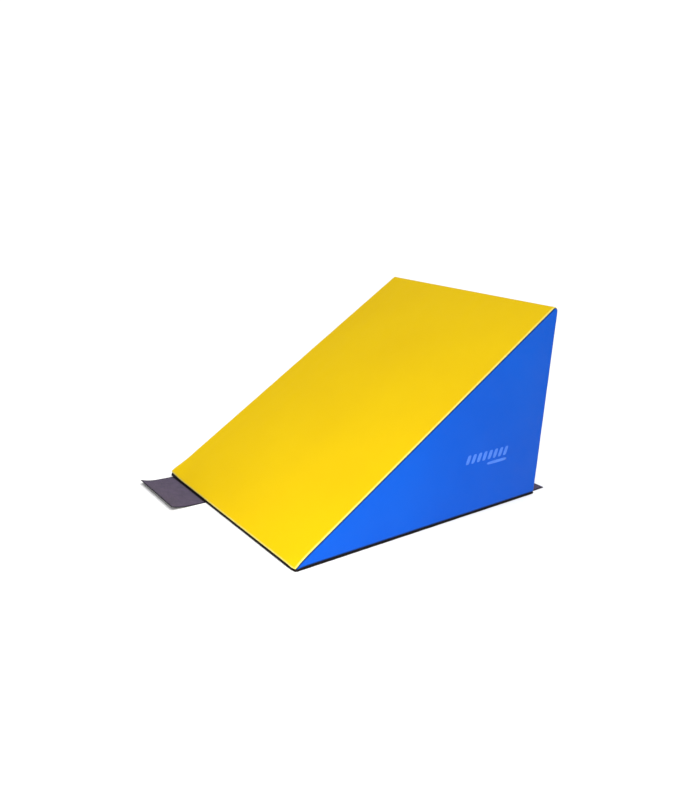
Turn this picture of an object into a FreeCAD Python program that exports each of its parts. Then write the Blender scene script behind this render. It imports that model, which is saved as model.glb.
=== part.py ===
import FreeCAD, Part
import os
import Sketcher

# Incline wedge mat: a foam wedge in a sewn cover, with joining flaps at two diagonal corners.
# The origin is the middle of the wedge's underside. +X points from the thin toe to the tall back,
# +Y to the left when facing up the slope, and +Z up. Millimetres.

DRIVING_SIZES = {
    # the wedge: height is to the top of the rounded edge, and toe_rise to the toe's sharp corner
    "length": 1250,
    "width": 1000,
    "height": 820,
    "toe_rise": 16,
    "top_round": 18,
    "toe_round": 4,
    # the cover
    "cloth": 1,
    "base_cloth": 2,
    "lip_rise": 10,
    "top_turn": 22,
    # the joining flaps and the hook tape that a neighbour's flaps hold
    "flap_width": 320,
    "flap_inset": 18,
    "flap_cloth": 1.5,
    "fold_cut": 0.3,
    "loop_pile": 1.5,
    "loop_margin": 5,
    "toe_fold": 8,
    "toe_flat": 60,
    "curl_radius": 240,
    "curl_angle": 21.5,
    "back_fold": 4,
    "back_reach": 90,
    "hook_reach": 140,
    "hook_edge": 12,
    "hook_thick": 1.2,
    # the zip across the back
    "zip_height": 120,
    "zip_gap": 14,
    "zip_reach": 440,
    "zip_rest": 425,
    "tape_thick": 1,
    "tape_outer": 16,
    "tape_spare": 1,
    "teeth_outer": 4,
    "teeth_inner": 1.2,
    "teeth_back": 3,
    "teeth_front": 0.2,
    "stop_length": 4,
    "end_room": 10,
    "groove_depth": 8,
    "groove_spare": 2.7,
    "slider_length": 16,
    "slider_half": 6.3,
    "flange_inner": 5,
    "plate_gap": 0.6,
    "plate_thick": 1.4,
    "back_plate_gap": 3.4,
    "back_plate_thick": 2.2,
    "front_flange": 1.2,
    "back_flange": 1,
    "post_start": 3,
    "post_end": 7,
    "post_width": 1.8,
    "crown_width": 2.4,
    "crown_opening": 3.6,
    "crown_metal": 1.5,
    "crown_half": 6,
    "crown_round": 1.2,
    "pull_length": 32,
    "pull_width": 9,
    "pull_thick": 2,
    "pull_tip_round": 3,
    "pull_bar_round": 0.8,
    "pull_hole_end": 8,
    "pull_hole_half": 2,
    # the air vents and the care label
    "vent_height": 650,
    "vent_spread": 330,
    "eyelet_outer": 24,
    "eyelet_bore": 12,
    "barrel_outer": 14,
    "vent_fit": 0.2,
    "flange_rise": 1,
    "barrel_spare": 0.5,
    "relief_spare": 3,
    "relief_depth": 3.5,
    "label_width": 32,
    "label_rise": 55,
    "label_low": 40,
    "label_place": 300,
    "label_thick": 0.4,
}

doc = FreeCAD.newDocument("incline_wedge_mat")
sizes = doc.addObject("Spreadsheet::Sheet", "Sizes")
for row, (alias, size) in enumerate(DRIVING_SIZES.items(), start=1):
    sizes.set(f"A{row}", alias)
    sizes.set(f"B{row}", str(size))
    sizes.setAlias(f"B{row}", alias)
doc.recompute()

# Places that many pieces share, as formulas of the sheet's cells.
TOE_X = "(-Sizes.length/2)"
BACK_X = "(Sizes.length/2)"
# The slope runs from the toe's corner to touch the round of the top edge.
ARC_RUN = "(Sizes.length - Sizes.top_round)"
ARC_RISE = "(Sizes.height - Sizes.top_round - Sizes.toe_rise)"
PITCH = f"tan(atan({ARC_RISE}/{ARC_RUN}) + asin(Sizes.top_round/sqrt({ARC_RUN}^2 + {ARC_RISE}^2)))"
ZIP_Z = "Sizes.zip_height"
TAPE_BACK = f"({BACK_X} - Sizes.cloth - Sizes.tape_thick)"
CURL_X = "(-Sizes.length/2 - Sizes.toe_flat)"
FLAP_MIDDLE = "(Sizes.width/2 - Sizes.flap_inset - Sizes.flap_width/2)"
INNER_HALF = "(Sizes.width/2 - Sizes.cloth)"

nodes = []


def number_of(formula):
    """The present value of a formula of the sheet's cells."""
    value = sizes.evalExpression(str(formula))
    return float(getattr(value, "Value", value))


def slope_z(x, inset="0"):
    """Height of the slope at x, on a plane that lies inset under its face."""
    return f"(Sizes.toe_rise + ({x} + Sizes.length/2)*{PITCH} - ({inset})*sqrt(1 + {PITCH}^2))"


def bind(thing, **formulas):
    """Bind properties to formulas. A double underscore in a name stands for a dot."""
    for name, formula in formulas.items():
        thing.setExpression(name.replace("__", "."), str(formula))


def place(thing, x="0", y="0", z="0"):
    bind(thing, Placement__Base__x=x, Placement__Base__y=y, Placement__Base__z=z)


def new_body(name):
    body = doc.addObject("PartDesign::Body", name)
    body.Label = name
    nodes.append(body)
    return body


def new_sketch(body, name, role, offset=None):
    """A sketch on one of the body's own origin planes, moved along that plane's normal by offset."""
    plane = next(item for item in body.Origin.OriginFeatures if item.Role == role)
    sketch = body.newObject("Sketcher::SketchObject", name)
    sketch.AttachmentSupport = [(plane, "")]
    sketch.MapMode = "FlatFace"
    if offset is not None:
        bind(sketch, AttachmentOffset__Base__z=offset)
    return sketch


def bind_point(sketch, geometry, position, u=None, v=None):
    """Hold a point of a sketch at formulas u and v from the sketch's origin."""
    for kind, formula in (("DistanceX", u), ("DistanceY", v)):
        if formula is not None:
            held = Sketcher.Constraint(kind, -1, 1, geometry, position, number_of(formula))
            index = sketch.addConstraint(held)
            sketch.setExpression(f"Constraints[{index}]", str(formula))


def draw_outline(sketch, corners):
    """A closed outline of straight sides through corners, which are (u, v) formulas."""
    first = sketch.GeometryCount
    points = [FreeCAD.Vector(number_of(u), number_of(v), 0) for u, v in corners]
    count = len(points)
    for i, point in enumerate(points):
        sketch.addGeometry(Part.LineSegment(point, points[(i + 1) % count]), False)
    for i in range(count):
        sketch.addConstraint(Sketcher.Constraint("Coincident", first + i, 2, first + (i + 1) % count, 1))
    for i, (u, v) in enumerate(corners):
        bind_point(sketch, first + i, 1, u, v)


def draw_circle(sketch, u, v, diameter):
    centre = FreeCAD.Vector(number_of(u), number_of(v), 0)
    circle = Part.Circle(centre, FreeCAD.Vector(0, 0, 1), number_of(diameter) / 2)
    geometry = sketch.addGeometry(circle, False)
    bind_point(sketch, geometry, 3, u, v)
    index = sketch.addConstraint(Sketcher.Constraint("Diameter", geometry, number_of(diameter)))
    sketch.setExpression(f"Constraints[{index}]", str(diameter))


def pad(body, name, sketch, length, symmetric=False):
    feature = body.newObject("PartDesign::Pad", name)
    feature.Profile = sketch
    bind(feature, Length=length)
    feature.SideType = "Symmetric" if symmetric else "One side"
    doc.recompute()
    return feature


def pocket(body, name, sketch, length, symmetric=False):
    """A pocket that has to take something away."""
    before = body.Shape.Volume
    feature = body.newObject("PartDesign::Pocket", name)
    feature.Profile = sketch
    bind(feature, Length=length)
    feature.SideType = "Symmetric" if symmetric else "One side"
    doc.recompute()
    if body.Shape.Volume >= before:
        raise RuntimeError(f"{name} cuts nothing")
    return feature


def round_edges(body, name, radius, *places):
    """Round the straight edges whose middles lie at the given places, each a triple in which None is any."""
    base = body.Tip
    near = 0.01
    names = []
    for index, edge in enumerate(base.Shape.Edges, start=1):
        middle = edge.CenterOfMass
        for spot in places:
            targets = [(None if value is None else number_of(value)) for value in spot]
            if all(t is None or abs(t - m) < near for t, m in zip(targets, middle)):
                names.append(f"Edge{index}")
    feature = body.newObject("PartDesign::Fillet", name)
    feature.Base = (base, names)
    bind(feature, Radius=radius)
    doc.recompute()
    return feature


def box(name, x, y, z, keep=True):
    """A box between (low, high) formulas along each axis."""
    item = doc.addObject("Part::Box", name)
    item.Label = name
    bind(item, Length=f"{x[1]} - {x[0]}", Width=f"{y[1]} - {y[0]}", Height=f"{z[1]} - {z[0]}")
    place(item, x[0], y[0], z[0])
    if keep:
        nodes.append(item)
    return item


def box_pair(name, *spans):
    """Separate boxes in one node, each given by its spans along X, Y and Z."""
    group = doc.addObject("Part::Compound", name)
    group.Label = name
    group.Links = [box(f"{name}_{i}", *span, keep=False) for i, span in enumerate(spans, start=1)]
    nodes.append(group)


def wedge_outline(inset, base):
    """The wedge's side outline, set in by inset from the toe, the slope and the back, down to base."""
    toe = f"({TOE_X} + {inset})"
    back = f"({BACK_X} - {inset})"
    return [(toe, base), (back, base), (back, slope_z(back, inset)), (toe, slope_z(toe, inset))]


def round_wedge(body, inset):
    """Round the top edge at the back, and the toe's top edge."""
    back = f"({BACK_X} - {inset})"
    toe = f"({TOE_X} + {inset})"
    round_edges(body, f"{body.Name}_top_edge", f"Sizes.top_round - {inset}",
                (back, "0", slope_z(back, inset)))
    round_edges(body, f"{body.Name}_toe_edge", f"Sizes.toe_round - {inset}",
                (toe, "0", slope_z(toe, inset)))


def make_foam_core():
    """One block of foam, with room at the back for the zip and for the vents' washers."""
    body = new_body("foam_core")
    outline = new_sketch(body, "foam_outline", "XZ_Plane")
    draw_outline(outline, wedge_outline("Sizes.cloth", "Sizes.base_cloth"))
    pad(body, "foam_block", outline, f"2*{INNER_HALF}", symmetric=True)
    round_wedge(body, "Sizes.cloth")

    face = f"({BACK_X} - Sizes.cloth)"
    tape_room = "(Sizes.tape_outer + Sizes.tape_spare)"
    recess = new_sketch(body, "tape_recess_outline", "XZ_Plane")
    draw_outline(recess, [(TAPE_BACK, f"{ZIP_Z} - {tape_room}"), (face, f"{ZIP_Z} - {tape_room}"),
                          (face, f"{ZIP_Z} + {tape_room}"), (TAPE_BACK, f"{ZIP_Z} + {tape_room}")])
    pocket(body, "tape_recess", recess, "Sizes.width", symmetric=True)

    groove_floor = f"({BACK_X} - Sizes.groove_depth)"
    groove_half = "(Sizes.slider_half + Sizes.groove_spare)"
    groove = new_sketch(body, "zip_groove_outline", "XZ_Plane")
    draw_outline(groove, [(groove_floor, f"{ZIP_Z} - {groove_half}"), (face, f"{ZIP_Z} - {groove_half}"),
                          (face, f"{ZIP_Z} + {groove_half}"), (groove_floor, f"{ZIP_Z} + {groove_half}")])
    pocket(body, "zip_groove", groove, "2*(Sizes.zip_reach + Sizes.end_room)", symmetric=True)

    relief = new_sketch(body, "vent_relief_outline", "YZ_Plane", offset=face)
    relief_width = "Sizes.eyelet_outer + Sizes.relief_spare"
    for side in ("", "0 - "):
        draw_circle(relief, f"{side}Sizes.vent_spread", "Sizes.vent_height", relief_width)
    pocket(body, "vent_relief", relief, "Sizes.relief_depth")


def make_top_panel():
    """One strip of cloth: up the toe, over the slope, round the top edge and a little way down the back."""
    body = new_body("top_panel")
    low = "Sizes.lip_rise"
    turn = "(Sizes.height - Sizes.top_turn)"
    inner_toe = f"({TOE_X} + Sizes.cloth)"
    inner_back = f"({BACK_X} - Sizes.cloth)"
    outline = new_sketch(body, "top_panel_outline", "XZ_Plane")
    draw_outline(outline, [
        (TOE_X, low), (inner_toe, low), (inner_toe, slope_z(inner_toe, "Sizes.cloth")),
        (inner_back, slope_z(inner_back, "Sizes.cloth")), (inner_back, turn), (BACK_X, turn),
        (BACK_X, slope_z(BACK_X)), (TOE_X, "Sizes.toe_rise")])
    pad(body, "top_panel_strip", outline, "Sizes.width", symmetric=True)
    round_wedge(body, "0")
    round_edges(body, "top_panel_inner_top", "Sizes.top_round - Sizes.cloth",
                (inner_back, "0", slope_z(inner_back, "Sizes.cloth")))
    round_edges(body, "top_panel_inner_toe", "Sizes.toe_round - Sizes.cloth",
                (inner_toe, "0", slope_z(inner_toe, "Sizes.cloth")))


def make_side_panels():
    """Two flat wedge-shaped cloths, under the top cloth's edges and above the base cloth's lip."""
    for name, middle in (("side_panel_right", "(Sizes.cloth/2 - Sizes.width/2)"),
                         ("side_panel_left", "(Sizes.width/2 - Sizes.cloth/2)")):
        body = new_body(name)
        outline = new_sketch(body, f"{name}_outline", "XZ_Plane")
        draw_outline(outline, wedge_outline("Sizes.cloth", "Sizes.lip_rise"))
        pad(body, f"{name}_cloth", outline, "Sizes.cloth", symmetric=True)
        round_wedge(body, "Sizes.cloth")
        place(body, y=middle)


def make_back_panels():
    """The back cloth, in two pieces with the zip between them. The upper one has the vent holes."""
    face = (f"({BACK_X} - Sizes.cloth)", BACK_X)
    for name, low, high in (
            ("back_panel_lower", "Sizes.lip_rise", f"({ZIP_Z} - Sizes.zip_gap/2)"),
            ("back_panel_upper", f"({ZIP_Z} + Sizes.zip_gap/2)", "(Sizes.height - Sizes.top_turn)")):
        body = new_body(name)
        outline = new_sketch(body, f"{name}_outline", "XZ_Plane")
        draw_outline(outline, [(face[0], low), (face[1], low), (face[1], high), (face[0], high)])
        pad(body, f"{name}_cloth", outline, "Sizes.width", symmetric=True)
    holes = new_sketch(body, "vent_hole_outline", "YZ_Plane", offset=BACK_X)
    hole_width = "Sizes.barrel_outer + Sizes.vent_fit"
    for side in ("", "0 - "):
        draw_circle(holes, f"{side}Sizes.vent_spread", "Sizes.vent_height", hole_width)
    pocket(body, "vent_holes", holes, "Sizes.cloth")


def hook_span(side):
    """Along X, from just inside the edge at one end of the base."""
    edge = f"({side}*(Sizes.length/2 - Sizes.hook_edge))"
    inner = f"({side}*(Sizes.length/2 - Sizes.hook_edge - Sizes.hook_reach))"
    return (inner, edge) if side > 0 else (edge, inner)


def hook_width(side):
    """Along Y, as wide as a flap, on the side away from that end's own flap."""
    near = f"({side}*(Sizes.width/2 - Sizes.flap_inset))"
    far = f"({side}*(Sizes.width/2 - Sizes.flap_inset - Sizes.flap_width))"
    return (far, near) if side > 0 else (near, far)


def make_base():
    """The non-slip base cloth, its edge turned up as a low lip, and the two patches of hook tape."""
    body = new_body("base_panel")
    half_x = "(Sizes.length/2)"
    half_y = "(Sizes.width/2)"
    floor = new_sketch(body, "base_outline", "XY_Plane")
    draw_outline(floor, [(f"0 - {half_x}", f"0 - {half_y}"), (half_x, f"0 - {half_y}"),
                         (half_x, half_y), (f"0 - {half_x}", half_y)])
    pad(body, "base_cloth_block", floor, "Sizes.lip_rise")
    room_x = f"({half_x} - Sizes.cloth)"
    room = new_sketch(body, "foam_room_outline", "XY_Plane", offset="Sizes.lip_rise")
    draw_outline(room, [(f"0 - {room_x}", f"0 - {INNER_HALF}"), (room_x, f"0 - {INNER_HALF}"),
                        (room_x, INNER_HALF), (f"0 - {room_x}", INNER_HALF)])
    pocket(body, "foam_room", room, "Sizes.lip_rise - Sizes.base_cloth")
    hooks = new_sketch(body, "hook_recess_outline", "XY_Plane", offset="Sizes.hook_thick")
    for name, x_side, y_side in (("toe_hook_patch", -1, -1), ("back_hook_patch", 1, 1)):
        x = hook_span(x_side)
        y = hook_width(y_side)
        draw_outline(hooks, [(x[0], y[0]), (x[1], y[0]), (x[1], y[1]), (x[0], y[1])])
        box(name, x, y, ("0", "Sizes.hook_thick"))
    pocket(body, "hook_recesses", hooks, "Sizes.hook_thick")


def make_toe_strip(name, bottom, top, start, end_margin, width):
    """A strip that lies flat from the fold line, then curls up off the floor along an arc."""
    body = new_body(name)
    flat = new_sketch(body, f"{name}_flat_outline", "XZ_Plane")
    draw_outline(flat, [(start, bottom), (CURL_X, bottom), (CURL_X, top), (start, top)])
    pad(body, f"{name}_flat", flat, width, symmetric=True)
    section = new_sketch(body, f"{name}_curl_outline", "YZ_Plane", offset=CURL_X)
    half = f"(({width})/2)"
    draw_outline(section, [(f"0 - {half}", bottom), (half, bottom), (half, top), (f"0 - {half}", top)])
    axis = Part.LineSegment(FreeCAD.Vector(-1, number_of("Sizes.curl_radius"), 0),
                            FreeCAD.Vector(1, number_of("Sizes.curl_radius"), 0))
    line = section.addGeometry(axis, True)
    bind_point(section, line, 1, "0 - 1", "Sizes.curl_radius")
    bind_point(section, line, 2, "1", "Sizes.curl_radius")
    curl = body.newObject("PartDesign::Revolution", f"{name}_curl")
    curl.Profile = section
    curl.ReferenceAxis = (section, ["Axis0"])
    curl.Reversed = False
    bind(curl, Angle=f"Sizes.curl_angle - ({end_margin})/Sizes.curl_radius*180/pi")
    doc.recompute()
    place(body, y=FLAP_MIDDLE)


def make_flaps():
    """Joining flaps: a cloth tongue with loop pile on top, sewn to the base along one edge.

    Each tongue is split at its fold line: the sewn edge stays with the base and the rest folds.
    """
    near = f"({FLAP_MIDDLE} - Sizes.flap_width/2)"
    far = f"({FLAP_MIDDLE} + Sizes.flap_width/2)"
    fold_toe = f"({TOE_X} - Sizes.toe_fold)"
    fold_back = f"({BACK_X} + Sizes.back_fold)"
    cloth = ("0", "Sizes.flap_cloth")
    pile = ("Sizes.flap_cloth", "(Sizes.flap_cloth + Sizes.loop_pile)")
    box("toe_flap_sewn_edge", (f"({fold_toe} + Sizes.fold_cut)", TOE_X), (near, far), cloth)
    make_toe_strip("toe_flap", *cloth, fold_toe, "0", "Sizes.flap_width")
    make_toe_strip("toe_flap_loop", *pile, f"({fold_toe} - Sizes.loop_margin)", "Sizes.loop_margin",
                   "Sizes.flap_width - 2*Sizes.loop_margin")

    right = (f"(0 - {far})", f"(0 - {near})")
    right_pile = (f"(0 - {far} + Sizes.loop_margin)", f"(0 - {near} - Sizes.loop_margin)")
    reach = f"({BACK_X} + Sizes.back_reach)"
    box("back_flap_sewn_edge", (BACK_X, f"({fold_back} - Sizes.fold_cut)"), right, cloth)
    box("back_flap", (fold_back, reach), right, cloth)
    box("back_flap_loop", (f"({fold_back} + Sizes.loop_margin)", f"({reach} - Sizes.loop_margin)"),
        right_pile, pile)


def make_zip():
    """A zip across the back: tapes behind the cloth, rows of teeth, stops, and cloth over both ends."""
    tape_x = (TAPE_BACK, f"({BACK_X} - Sizes.cloth)")
    whole = (f"(0 - {INNER_HALF})", INNER_HALF)
    teeth_x = (f"({BACK_X} - Sizes.teeth_back)", f"({BACK_X} + Sizes.teeth_front)")
    row = ("(0 - Sizes.zip_reach)", "Sizes.zip_reach")
    for name, sign in (("upper", "+"), ("lower", "-")):
        inner, edge, outer = (f"({ZIP_Z} {sign} Sizes.{cell})"
                              for cell in ("teeth_inner", "teeth_outer", "tape_outer"))
        box(f"zip_tape_{name}", tape_x, whole, (edge, outer) if sign == "+" else (outer, edge))
        box(f"zip_teeth_{name}", teeth_x, row, (inner, edge) if sign == "+" else (edge, inner))
    both_rows = (f"({ZIP_Z} - Sizes.teeth_outer)", f"({ZIP_Z} + Sizes.teeth_outer)")
    row_end = "(Sizes.zip_reach + Sizes.stop_length)"
    box("zip_bottom_stop", teeth_x, (f"(0 - {row_end})", row[0]), both_rows)
    box_pair("zip_top_stops",
             (teeth_x, (row[1], row_end), (f"({ZIP_Z} + Sizes.teeth_inner)", both_rows[1])),
             (teeth_x, (row[1], row_end), (both_rows[0], f"({ZIP_Z} - Sizes.teeth_inner)")))
    tab_x = (f"({BACK_X} - Sizes.cloth)", BACK_X)
    tab_z = (f"({ZIP_Z} - Sizes.zip_gap/2)", f"({ZIP_Z} + Sizes.zip_gap/2)")
    opening_end = "(Sizes.zip_reach + Sizes.end_room)"
    box_pair("zip_end_tabs",
             (tab_x, (opening_end, "(Sizes.width/2)"), tab_z),
             (tab_x, ("(0 - Sizes.width/2)", f"(0 - {opening_end})"), tab_z))


def u_section(u_face, u_rim, u_back, inner, outer):
    """A plate with a flange along both edges: corners of its cross-section, u along X and v along Z."""
    return [(u_back, f"0 - {outer}"), (u_rim, f"0 - {outer}"), (u_rim, f"0 - {inner}"),
            (u_face, f"0 - {inner}"), (u_face, inner), (u_rim, inner), (u_rim, outer), (u_back, outer)]


def make_zip_slider():
    """Two flanged plates joined by a post that runs between the rows of teeth, and a crown for the pull."""
    body = new_body("zip_slider")
    half = "Sizes.slider_half"
    front = "Sizes.plate_gap"
    front_top = "(Sizes.plate_gap + Sizes.plate_thick)"
    rear = "(0 - Sizes.back_plate_gap)"
    rear_low = "(0 - Sizes.back_plate_gap - Sizes.back_plate_thick)"
    front_rim = f"({front} - Sizes.front_flange)"
    rear_rim = f"({rear} + Sizes.back_flange)"
    post = new_sketch(body, "slider_post_outline", "XY_Plane")
    near, far = "Sizes.post_start", "Sizes.post_end"
    draw_outline(post, [(rear, near), (front, near), (front, far), (rear, far)])
    pad(body, "slider_post", post, "Sizes.post_width", symmetric=True)
    front_plate = new_sketch(body, "front_plate_outline", "XZ_Plane")
    draw_outline(front_plate, u_section(front, front_rim, front_top, "Sizes.flange_inner", half))
    pad(body, "front_plate", front_plate, "Sizes.slider_length", symmetric=True)
    rear_plate = new_sketch(body, "rear_plate_outline", "XZ_Plane")
    draw_outline(rear_plate, u_section(rear, rear_rim, rear_low, "Sizes.flange_inner", half))
    pad(body, "rear_plate", rear_plate, "Sizes.slider_length", symmetric=True)
    under = f"({front_top} + Sizes.crown_opening)"
    over = f"({under} + Sizes.crown_metal)"
    reach = "Sizes.crown_half"
    leg = "(Sizes.crown_half - Sizes.crown_metal)"
    crown = new_sketch(body, "crown_outline", "XY_Plane")
    draw_outline(crown, [
        (front_top, f"0 - {reach}"), (over, f"0 - {reach}"), (over, reach), (front_top, reach),
        (front_top, leg), (under, leg), (under, f"0 - {leg}"), (front_top, f"0 - {leg}")])
    pad(body, "crown", crown, "Sizes.crown_width", symmetric=True)
    round_edges(body, "crown_corners", "Sizes.crown_round", (over, reach, "0"), (over, f"0 - {reach}", "0"))
    place(body, BACK_X, "Sizes.zip_rest", ZIP_Z)


def make_zip_pull():
    """A flat tab whose end bar passes under the slider's crown."""
    body = new_body("zip_pull")
    half = "(Sizes.pull_width/2)"
    bar = "(Sizes.pull_thick/2)"
    axis = "(Sizes.plate_gap + Sizes.plate_thick + Sizes.crown_opening/2)"
    tip = "(0 - Sizes.pull_length)"
    tab = new_sketch(body, "pull_outline", "YZ_Plane", offset=axis)
    draw_outline(tab, [(tip, f"0 - {half}"), (bar, f"0 - {half}"), (bar, half), (tip, half)])
    hole_end, hole_start = "(0 - Sizes.pull_hole_end)", f"(0 - {bar})"
    hole_low, hole_high = "(0 - Sizes.pull_hole_half)", "Sizes.pull_hole_half"
    draw_outline(tab, [(hole_end, hole_low), (hole_start, hole_low),
                       (hole_start, hole_high), (hole_end, hole_high)])
    pad(body, "pull_tab", tab, "Sizes.pull_thick", symmetric=True)
    round_edges(body, "pull_tip", "Sizes.pull_tip_round", (None, tip, half), (None, tip, f"0 - {half}"))
    round_edges(body, "pull_bar", "Sizes.pull_bar_round",
                (f"{axis} - {bar}", bar, "0"), (f"{axis} + {bar}", bar, "0"))
    place(body, BACK_X, "Sizes.zip_rest", ZIP_Z)


def make_vents():
    """Two air vents: an eyelet through the back cloth, its barrel held by a washer behind the cloth."""
    spots = ("Sizes.vent_spread", "0 - Sizes.vent_spread")
    barrel_end = f"({BACK_X} - 2*Sizes.cloth - Sizes.barrel_spare)"
    eyelets = new_body("vent_eyelets")
    flange = new_sketch(eyelets, "eyelet_flange_outline", "YZ_Plane", offset=BACK_X)
    barrel = new_sketch(eyelets, "eyelet_barrel_outline", "YZ_Plane", offset=barrel_end)
    washers = new_body("vent_washers")
    ring = new_sketch(washers, "washer_outline", "YZ_Plane", offset=f"({BACK_X} - 2*Sizes.cloth)")
    for spot in spots:
        draw_circle(flange, spot, "Sizes.vent_height", "Sizes.eyelet_outer")
        draw_circle(flange, spot, "Sizes.vent_height", "Sizes.eyelet_bore")
        draw_circle(barrel, spot, "Sizes.vent_height", "Sizes.barrel_outer")
        draw_circle(barrel, spot, "Sizes.vent_height", "Sizes.eyelet_bore")
        draw_circle(ring, spot, "Sizes.vent_height", "Sizes.eyelet_outer")
        draw_circle(ring, spot, "Sizes.vent_height", "Sizes.barrel_outer + Sizes.vent_fit")
    pad(eyelets, "eyelet_flanges", flange, "Sizes.flange_rise")
    pad(eyelets, "eyelet_barrels", barrel, "2*Sizes.cloth + Sizes.barrel_spare")
    pad(washers, "washer_rings", ring, "Sizes.cloth")


def make_care_label():
    """A blank cloth label, sewn flat on the lower back cloth."""
    middle = "Sizes.label_place"
    box("care_label", (BACK_X, f"({BACK_X} + Sizes.label_thick)"),
        (f"({middle} - Sizes.label_width/2)", f"({middle} + Sizes.label_width/2)"),
        ("Sizes.label_low", "(Sizes.label_low + Sizes.label_rise)"))


make_foam_core()
make_top_panel()
make_side_panels()
make_back_panels()
make_base()
make_flaps()
make_zip()
make_zip_slider()
make_zip_pull()
make_vents()
make_care_label()
doc.recompute()

for item in doc.Objects:
    if {"Invalid", "Error"} & set(item.State):
        raise RuntimeError(f"{item.Label} failed: {item.State}")
for node in nodes:
    if node.Shape.isNull() or not node.Shape.isValid():
        raise RuntimeError(f"{node.Label} has no valid shape")

os.makedirs("parts", exist_ok=True)
for node in nodes:
    node.Shape.exportStep(f"parts/{node.Label}.step")
    extent = node.Shape.BoundBox
    print(f"{node.Label:22s} solids {len(node.Shape.Solids)}  volume {node.Shape.Volume:14.1f}  "
          f"x {extent.XMin:8.2f} {extent.XMax:8.2f}  y {extent.YMin:8.2f} {extent.YMax:8.2f}  "
          f"z {extent.ZMin:7.2f} {extent.ZMax:7.2f}")
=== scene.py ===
"""The looks of a foam incline wedge mat: a sewn vinyl cover, joining flaps, zip, vents and label."""

import math

import bmesh
import bpy
import numpy as np
from mathutils import Matrix, Vector
from mathutils.bvhtree import BVHTree
from mathutils.interpolate import poly_3d_calc


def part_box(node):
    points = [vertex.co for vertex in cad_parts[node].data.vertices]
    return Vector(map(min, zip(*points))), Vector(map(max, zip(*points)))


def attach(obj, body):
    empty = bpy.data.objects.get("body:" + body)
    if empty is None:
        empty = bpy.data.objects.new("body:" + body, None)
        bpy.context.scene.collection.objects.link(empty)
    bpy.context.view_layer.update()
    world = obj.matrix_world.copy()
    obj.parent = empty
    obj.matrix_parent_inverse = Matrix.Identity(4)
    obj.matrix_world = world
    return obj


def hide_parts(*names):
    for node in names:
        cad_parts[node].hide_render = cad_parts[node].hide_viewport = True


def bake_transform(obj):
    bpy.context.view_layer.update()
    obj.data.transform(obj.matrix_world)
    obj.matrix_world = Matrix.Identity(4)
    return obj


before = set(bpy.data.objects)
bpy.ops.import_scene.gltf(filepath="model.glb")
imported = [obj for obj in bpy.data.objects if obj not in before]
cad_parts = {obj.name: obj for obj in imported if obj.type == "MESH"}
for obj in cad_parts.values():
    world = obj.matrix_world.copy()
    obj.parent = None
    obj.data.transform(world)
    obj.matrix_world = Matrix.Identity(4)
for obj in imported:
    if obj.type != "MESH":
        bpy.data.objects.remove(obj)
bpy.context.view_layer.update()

MM = 0.001
UP = np.array([0.0, 0.0, 1.0])
AHEAD = np.array([1.0, 0.0, 0.0])
WHITE = (1.0, 1.0, 1.0, 1.0)
TINY = 1e-9

# ---------------- the wedge, from the frame, in metres

TOP_LOW, TOP_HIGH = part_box("top_panel")
LENGTH = TOP_HIGH.x - TOP_LOW.x
WIDTH = TOP_HIGH.y - TOP_LOW.y
HEIGHT = TOP_HIGH.z
LIP = TOP_LOW.z
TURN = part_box("back_panel_upper")[1].z
HALF_LENGTH = LENGTH / 2
HALF_WIDTH = WIDTH / 2
TOE_RISE = 16 * MM
TOP_ROUND = 18 * MM
EDGE_ROUND = 8 * MM
FOOT_ROUND = 3 * MM
CLOTH = 1.0 * MM

TEETH_LOW, TEETH_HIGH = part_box("zip_teeth_upper")
ZIP_REACH = TEETH_HIGH.y
ZIP_Z = sum(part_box("zip_slider")[i].z for i in (0, 1)) / 2
ZIP_GAP_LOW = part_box("back_panel_lower")[1].z
ZIP_GAP_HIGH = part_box("back_panel_upper")[0].z
VENT_LOW, VENT_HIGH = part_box("vent_eyelets")
VENT_Z = (VENT_LOW.z + VENT_HIGH.z) / 2
VENT_Y = VENT_HIGH.y - (VENT_HIGH.z - VENT_LOW.z) / 2
VENTS = [(side * VENT_Y, VENT_Z) for side in (-1, 1)]

SLOPE_RUN = LENGTH - TOP_ROUND
SLOPE_CLIMB = HEIGHT - TOP_ROUND - TOE_RISE
PITCH = math.atan(SLOPE_CLIMB / SLOPE_RUN) + math.asin(TOP_ROUND / math.hypot(SLOPE_RUN, SLOPE_CLIMB))
ARC_STEPS = 40


def top_arc(radius):
    """The top edge's round, from the back round to the slope, as places in x and z."""
    turn = np.linspace(0, math.pi / 2 + PITCH, ARC_STEPS)
    x = HALF_LENGTH - TOP_ROUND + radius * np.cos(turn)
    z = HEIGHT - TOP_ROUND + radius * np.sin(turn)
    return np.stack([x, z], axis=1)


def outline(inset, low):
    """The wedge seen from the side, anticlockwise, moved inwards by inset, with its underside at low."""
    toe = TOE_RISE + inset * math.tan(PITCH) - inset / math.cos(PITCH)
    corners = [(-HALF_LENGTH + inset, low), (HALF_LENGTH - inset, low)]
    return np.concatenate([corners, top_arc(TOP_ROUND - inset), [(-HALF_LENGTH + inset, toe)]])


FOOT_SHIFT = EDGE_ROUND - FOOT_ROUND
CORE_OUTLINE = outline(EDGE_ROUND, FOOT_ROUND) + [0, FOOT_SHIFT]
SIDE_OUTLINE = outline(0, LIP)
WHOLE_OUTLINE = outline(0, 0)
# The yellow panel's line from the toe's lip over the slope to its seam on the back.
TOE_LINE = [(-HALF_LENGTH, LIP), (-HALF_LENGTH, TOE_RISE)]
BELT = np.concatenate([TOE_LINE, top_arc(TOP_ROUND)[::-1], [(HALF_LENGTH, TURN)]])
BELT_PLACES = np.concatenate([[0], np.cumsum(np.linalg.norm(np.diff(BELT, axis=0), axis=1))])
BELT_LENGTH = BELT_PLACES[-1]


# ---------------- numbers, noise and meshes


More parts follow.
